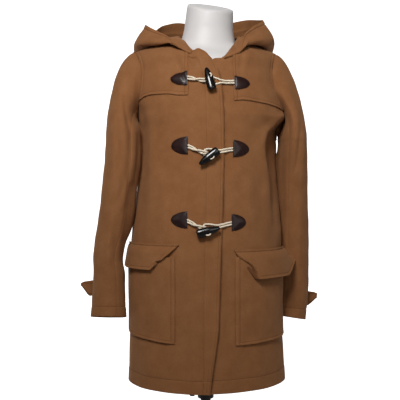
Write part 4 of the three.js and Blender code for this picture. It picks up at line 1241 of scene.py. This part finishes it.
def toggle(i, blunt, tip, off, bit_at, bit_aside):
    """Horn, with the bit of cord that shows on its face between its two holes."""
    z = CLOSURES[i]["z"]
    start = in_front(blunt[0], z + blunt[1], off)
    end = in_front(tip[0], z + tip[1], off)
    axis = unit(end - start)
    across = unit(np.cross(axis, [0, 1, 0]))
    face = np.cross(axis, across)
    t = np.concatenate([[0, 0, 0.012, 0.03], np.linspace(0.05, 0.93, 30), [0.96, 0.985, 1]])
    turn = np.linspace(0, 2 * math.pi, 41)
    middle = start + axis * (TOGGLE_LENGTH * t)[:, None] + face * (2 * t * t)[:, None]
    radius = TOGGLE_SHAPE(t)["r"][:, None, None]
    radius[0] = 2.0
    ring = across * np.cos(turn)[:, None] + face * TOGGLE_FLAT * np.sin(turn)[:, None]
    horn = closed_tube(f"toggle_{i + 1}_horn", middle[:, None] + radius * ring[None])
    finish_as(horn, HORN, f"toggle_{i + 1}")

    u = np.linspace(-1, 1, 25)
    aside = bit_aside + 2.0 * np.sign(bit_aside) * (1 - u * u)
    t = bit_at + 0.1 * u
    radius = TOGGLE_SHAPE(t)["r"]
    depth = TOGGLE_FLAT * np.sqrt(np.maximum(0.02, radius**2 - aside**2))
    place = start + axis * (TOGGLE_LENGTH * t)[:, None] + across * aside[:, None]
    place = place + face * (2 * t * t + depth + 1.2 - 3.6 * u**6)[:, None]
    bit = closed_tube(f"toggle_{i + 1}_cord_bit", tube_points(place, 1.75, 1 / BIT_LAY))
    finish_as(bit, CORD)
    return bit, start + axis * 0.45 * TOGGLE_LENGTH - face * TOGGLE_FLAT * 9.4


CORD_R = 2.3
PAIR_R = CORD_R + 0.45  # how far a pair's two cords turn about their middle
LOOP_R = CORD_R + 0.5  # and a loop's two sides lie from theirs
CORD_REST = CORD_R + 0.5  # how high a cord's middle lies over the cloth
BIGHT_R = 9.4  # the bend at a loop's end, as tight as this cord goes
LOOP_ASIDE = (-1.5, -6.5, -6.5)  # how far each loop's end lies beside where it meets the pair


def cord(name, path):
    """A three-strand twisted cotton cord along a path in mm."""
    line = even_line(path)
    obj = closed_tube(name + "_cotton", tube_points(line, CORD_R, 1 / CORD_LAY))
    finish_as(obj, CORD, name)


def closure(i, row):
    """A toggle, its twisted pair of cords from the left and the loop from the right."""
    meet_x, meet_up = MEETS[i]
    bit, under_toggle = toggle(i, **TOGGLES[i])
    start = row["left"] + 0.7
    t = np.linspace(0, 1, 48)
    for strand in (0, 1):
        turn = math.pi * (strand + smooth(0.1, 0.9, t) + 0.5)
        sag = (meet_up - row["left_up"]) * smooth(-0.3, 1, t)
        z = row["z"] + row["left_up"] + sag + PAIR_R * np.sin(turn)
        lift = row["on"] * (1 - smooth(0, 0.5, t)) + PAIR_R + 2.2 * smooth(0.6, 0.95, t)
        path = in_front(start + (meet_x - start) * t, z, CORD_REST + lift + PAIR_R * np.cos(turn))
        aside = np.array([0, 0, 2.4 if strand else -2.4])
        on = np.linspace(0.12, 1, 8)[:, None]
        path = np.concatenate([path, path[-1] + (under_toggle + aside - path[-1]) * on])
        cord(f"cord_left_{i + 1}" + ("b" if strand else "a"), path)
    start, centre = row["right"] - 0.7, meet_x + BIGHT_R + LOOP_ASIDE[i]
    edge = over_edge(row["z"])
    share = np.linspace(0, 1, 34)
    open_ = LOOP_R + (BIGHT_R - LOOP_R) * smooth(0.48, 1, share)
    arc = np.linspace(math.pi / 2, 3 * math.pi / 2, 18)[1:-1]
    x = start + (centre - start) * share
    x = np.concatenate([x, centre + BIGHT_R * np.cos(arc), x[::-1]])
    across = np.concatenate([open_, BIGHT_R * np.sin(arc), -open_[::-1]])
    went = (x - start) / (meet_x - start)
    z = row["z"] + row["right_up"] + (meet_up - row["right_up"]) * smooth(-0.3, 1, went) + across
    step = np.where(x > edge, OVER_LIFT * (1 - smooth(edge, edge + 14, x)), 0)
    path = in_front(x, z, CORD_REST + row["on"] * (1 - smooth(0, 0.4, went)) + step)
    cord(f"cord_right_{i + 1}", path)


for i, row in enumerate(CLOSURES):
    closure(i, row)

# Dress form and stand

FORM_GAP = table("v gap", [
    [430, 46], [470, 26], [560, 16], [640, 20], [780, 36], [880, 34], [945, 28], [1000, 12], [1018, 6.2],
    [1030, 3.9], [1045, 3.6],
])
FORM_BOTTOM = 436
NECK_TOP = 1222
NECK_SLANT = {"back": 0.42, "side": -0.11}  # the top's rise to the back and to the side
NECK = table("z x y wide deep", [
    [1060, 3, 0, 82, 64],
    [1100, 4, 0, 76, 60],
    [1136, 5.2, -2, 68.8, 55],
    [1155, 6.3, -4, 63.6, 52],
    [1176, 7.8, -6, 60.5, 51],
    [1222, 11, -8, 56.7, 50],
])
CAP_HIGH = 1.2  # how deep the cap's thin disc is let into the neck's top
# For the shell's remesh, in metres: its grain, and the height below which the neck's join is eased more
VOXEL = 0.004
NECK_SHARP = 1.168
EASE_JOIN, EASE_ALL = 24, 3


def neck_rings(z, grow=0.0, raised=None):
    """Rings of the neck. Where raised is given, they are the neck's slanted top, so much higher."""
    turn = np.linspace(0, 2 * math.pi, 73)
    at = {key: value[:, None] for key, value in NECK(z).items()}
    grow = np.broadcast_to(np.asarray(grow, float), z.shape)[:, None]
    x = at["x"] + (at["wide"] + grow) * np.cos(turn)
    y = at["y"] + (at["deep"] + grow) * np.sin(turn)
    height = z[:, None] + 0 * x
    if raised is not None:
        slant = (y - at["y"]) * NECK_SLANT["back"] + (x - at["x"]) * NECK_SLANT["side"]
        height = height + np.asarray(raised)[:, None] + slant
    return stack(x, y, height)


def form_inside(face, side, s, v):
    """A point of the form, under the cloth by the gap of its height."""
    normal = body_normal(face, side, s, v)
    flat = unit(normal * [1, 1, 0])
    normal = np.where((v < ARMPIT_Z)[..., None], flat, normal)
    return body_point(face, side, s, v) - normal * FORM_GAP(v)["gap"][..., None]


def make_torso():
    """One smooth moulded shell: torso and neck are merged by a remesh and then eased."""
    v = np.concatenate([np.linspace(FORM_BOTTOM, ARMPIT_Z, 90), ARMPIT_Z + np.linspace(2, 95, 40)])[:, None]
    s = np.linspace(0, 0.985, 34)[None]
    s, v = np.broadcast_arrays(s, v)
    quarter = {(f, d): form_inside(f, d, s, v) for f in ("front", "back") for d in (-1, 1)}
    for f in ("front", "back"):
        middle = (quarter[f, -1][:, :1] + quarter[f, 1][:, :1]) / 2
        for d in (-1, 1):
            quarter[f, d][:, :1] = middle
    rings = np.concatenate([
        quarter["front", 1],
        quarter["back", 1][:, ::-1],
        quarter["back", -1][:, 1:],
        quarter["front", -1][:, ::-1],
    ], axis=1)
    torso = closed_tube("form_torso", rings)
    z = np.linspace(1062, 1172, 26)
    sides = neck_rings(z)
    top = neck_rings(np.full(1, NECK_TOP), 0.6, [0.0])
    neck = closed_tube("form_neck", np.concatenate([sides, top]))
    bm = bmesh.new()
    bm.from_mesh(torso.data)
    bm.from_mesh(neck.data)
    bm.to_mesh(torso.data)
    bm.free()
    bpy.data.objects.remove(neck)
    melt = torso.modifiers.new("one shell", "REMESH")
    melt.mode = "VOXEL"
    melt.voxel_size = VOXEL
    seen = torso.evaluated_get(bpy.context.evaluated_depsgraph_get())
    bm = bmesh.new()
    bm.from_mesh(seen.to_mesh())
    torso.modifiers.clear()
    low = [p for p in bm.verts if p.co.z < NECK_SHARP]
    for verts, rounds in ((low, EASE_JOIN), (bm.verts, EASE_ALL)):
        for _ in range(rounds):
            bmesh.ops.smooth_vert(bm, verts=verts, factor=0.5, use_axis_x=True, use_axis_y=True, use_axis_z=True)
    write_smooth(bm, torso.data)
    finish_as(torso, FORM, "dress_form")


def make_neck_cap():
    raised = [-CAP_HIGH, -CAP_HIGH, 0.1, 0.35, 0.45, 0.45, 0.45]
    grow = [-12.0, -4.2, -4.2, -4.6, -5.6, -20.0, -40.0]
    rings = neck_rings(np.full(len(raised), NECK_TOP), grow, raised)
    cap = closed_tube("neck_cap_disc", rings)
    finish_as(cap, FORM, "neck_cap")


make_torso()
make_neck_cap()

for obj in list(bpy.data.objects):
    if obj.get("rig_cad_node") in ("stand_base", "pole", "form_flange", "clamp_collar", "clamp_screw"):
        obj.data.materials.clear()
        obj.data.materials.append(STAND)

# Floor and light

floor_mesh = bpy.data.meshes.new("floor")
bm = bmesh.new()
bmesh.ops.create_circle(bm, cap_ends=True, segments=64, radius=9.0)
bm.to_mesh(floor_mesh)
bm.free()
floor = bpy.data.objects.new("floor", floor_mesh)
bpy.context.collection.objects.link(floor)
floor.location.z = -0.0005
floor_paint, tree, shader = new_material("pale_floor")
set_inputs(tree, shader, {"Roughness": 0.9, "Base Color": (0.72, 0.72, 0.72, 1)})
floor_mesh.materials.append(floor_paint)

# A white paper sweep behind the stand, lit on its own
sweep_mesh = bpy.data.meshes.new("paper_sweep")
bm = bmesh.new()
foot = [bm.verts.new((x, 0.62, 0.001)) for x in (-4.5, 4.5)]
edge = bm.edges.new(foot)
for move in ((0, 3.6, 0), (0, 0.7, 0.3), (0, 0.3, 0.8), (0, 0, 7)):
    made = bmesh.ops.extrude_edge_only(bm, edges=[edge])["geom"]
    bmesh.ops.translate(bm, verts=[g for g in made if isinstance(g, bmesh.types.BMVert)], vec=move)
    edge = next(g for g in made if isinstance(g, bmesh.types.BMEdge))
bm.to_mesh(sweep_mesh)
bm.free()
sweep = bpy.data.objects.new("paper_sweep", sweep_mesh)
bpy.context.collection.objects.link(sweep)
sweep_paint, tree, shader = new_material("white_paper")
set_inputs(tree, shader, {"Roughness": 1.0, "Emission Color": (1, 1, 1, 1), "Emission Strength": 1.0})
sweep_mesh.materials.append(sweep_paint)


def area_light(name, place, aim, size, power, spread):
    data = bpy.data.lights.new(name, "AREA")
    data.shape = "DISK"
    data.size = size
    data.energy = power
    data.spread = math.radians(spread)
    obj = bpy.data.objects.new(name, data)
    bpy.context.collection.objects.link(obj)
    obj.location = place
    direction = np.array(place) - np.array(aim)
    flat = math.hypot(direction[0], direction[1])
    obj.rotation_euler = (math.atan2(flat, direction[2]), 0, math.atan2(direction[1], direction[0]) + math.pi / 2)


area_light("key", (-0.46, -1.65, 1.88), (0, 0, 1.0), 0.65, 6.6, 78)
area_light("fill", (0.9, -2.2, 1.4), (0, 0, 1.0), 1.2, 2.1, 90)

world = bpy.data.worlds.new("studio")
world.use_nodes = True
world.node_tree.nodes["Background"].inputs["Color"].default_value = (1, 1, 1, 1)
world.node_tree.nodes["Background"].inputs["Strength"].default_value = 0.11
bpy.context.scene.world = world
bpy.context.scene.view_settings.view_transform = "Standard"
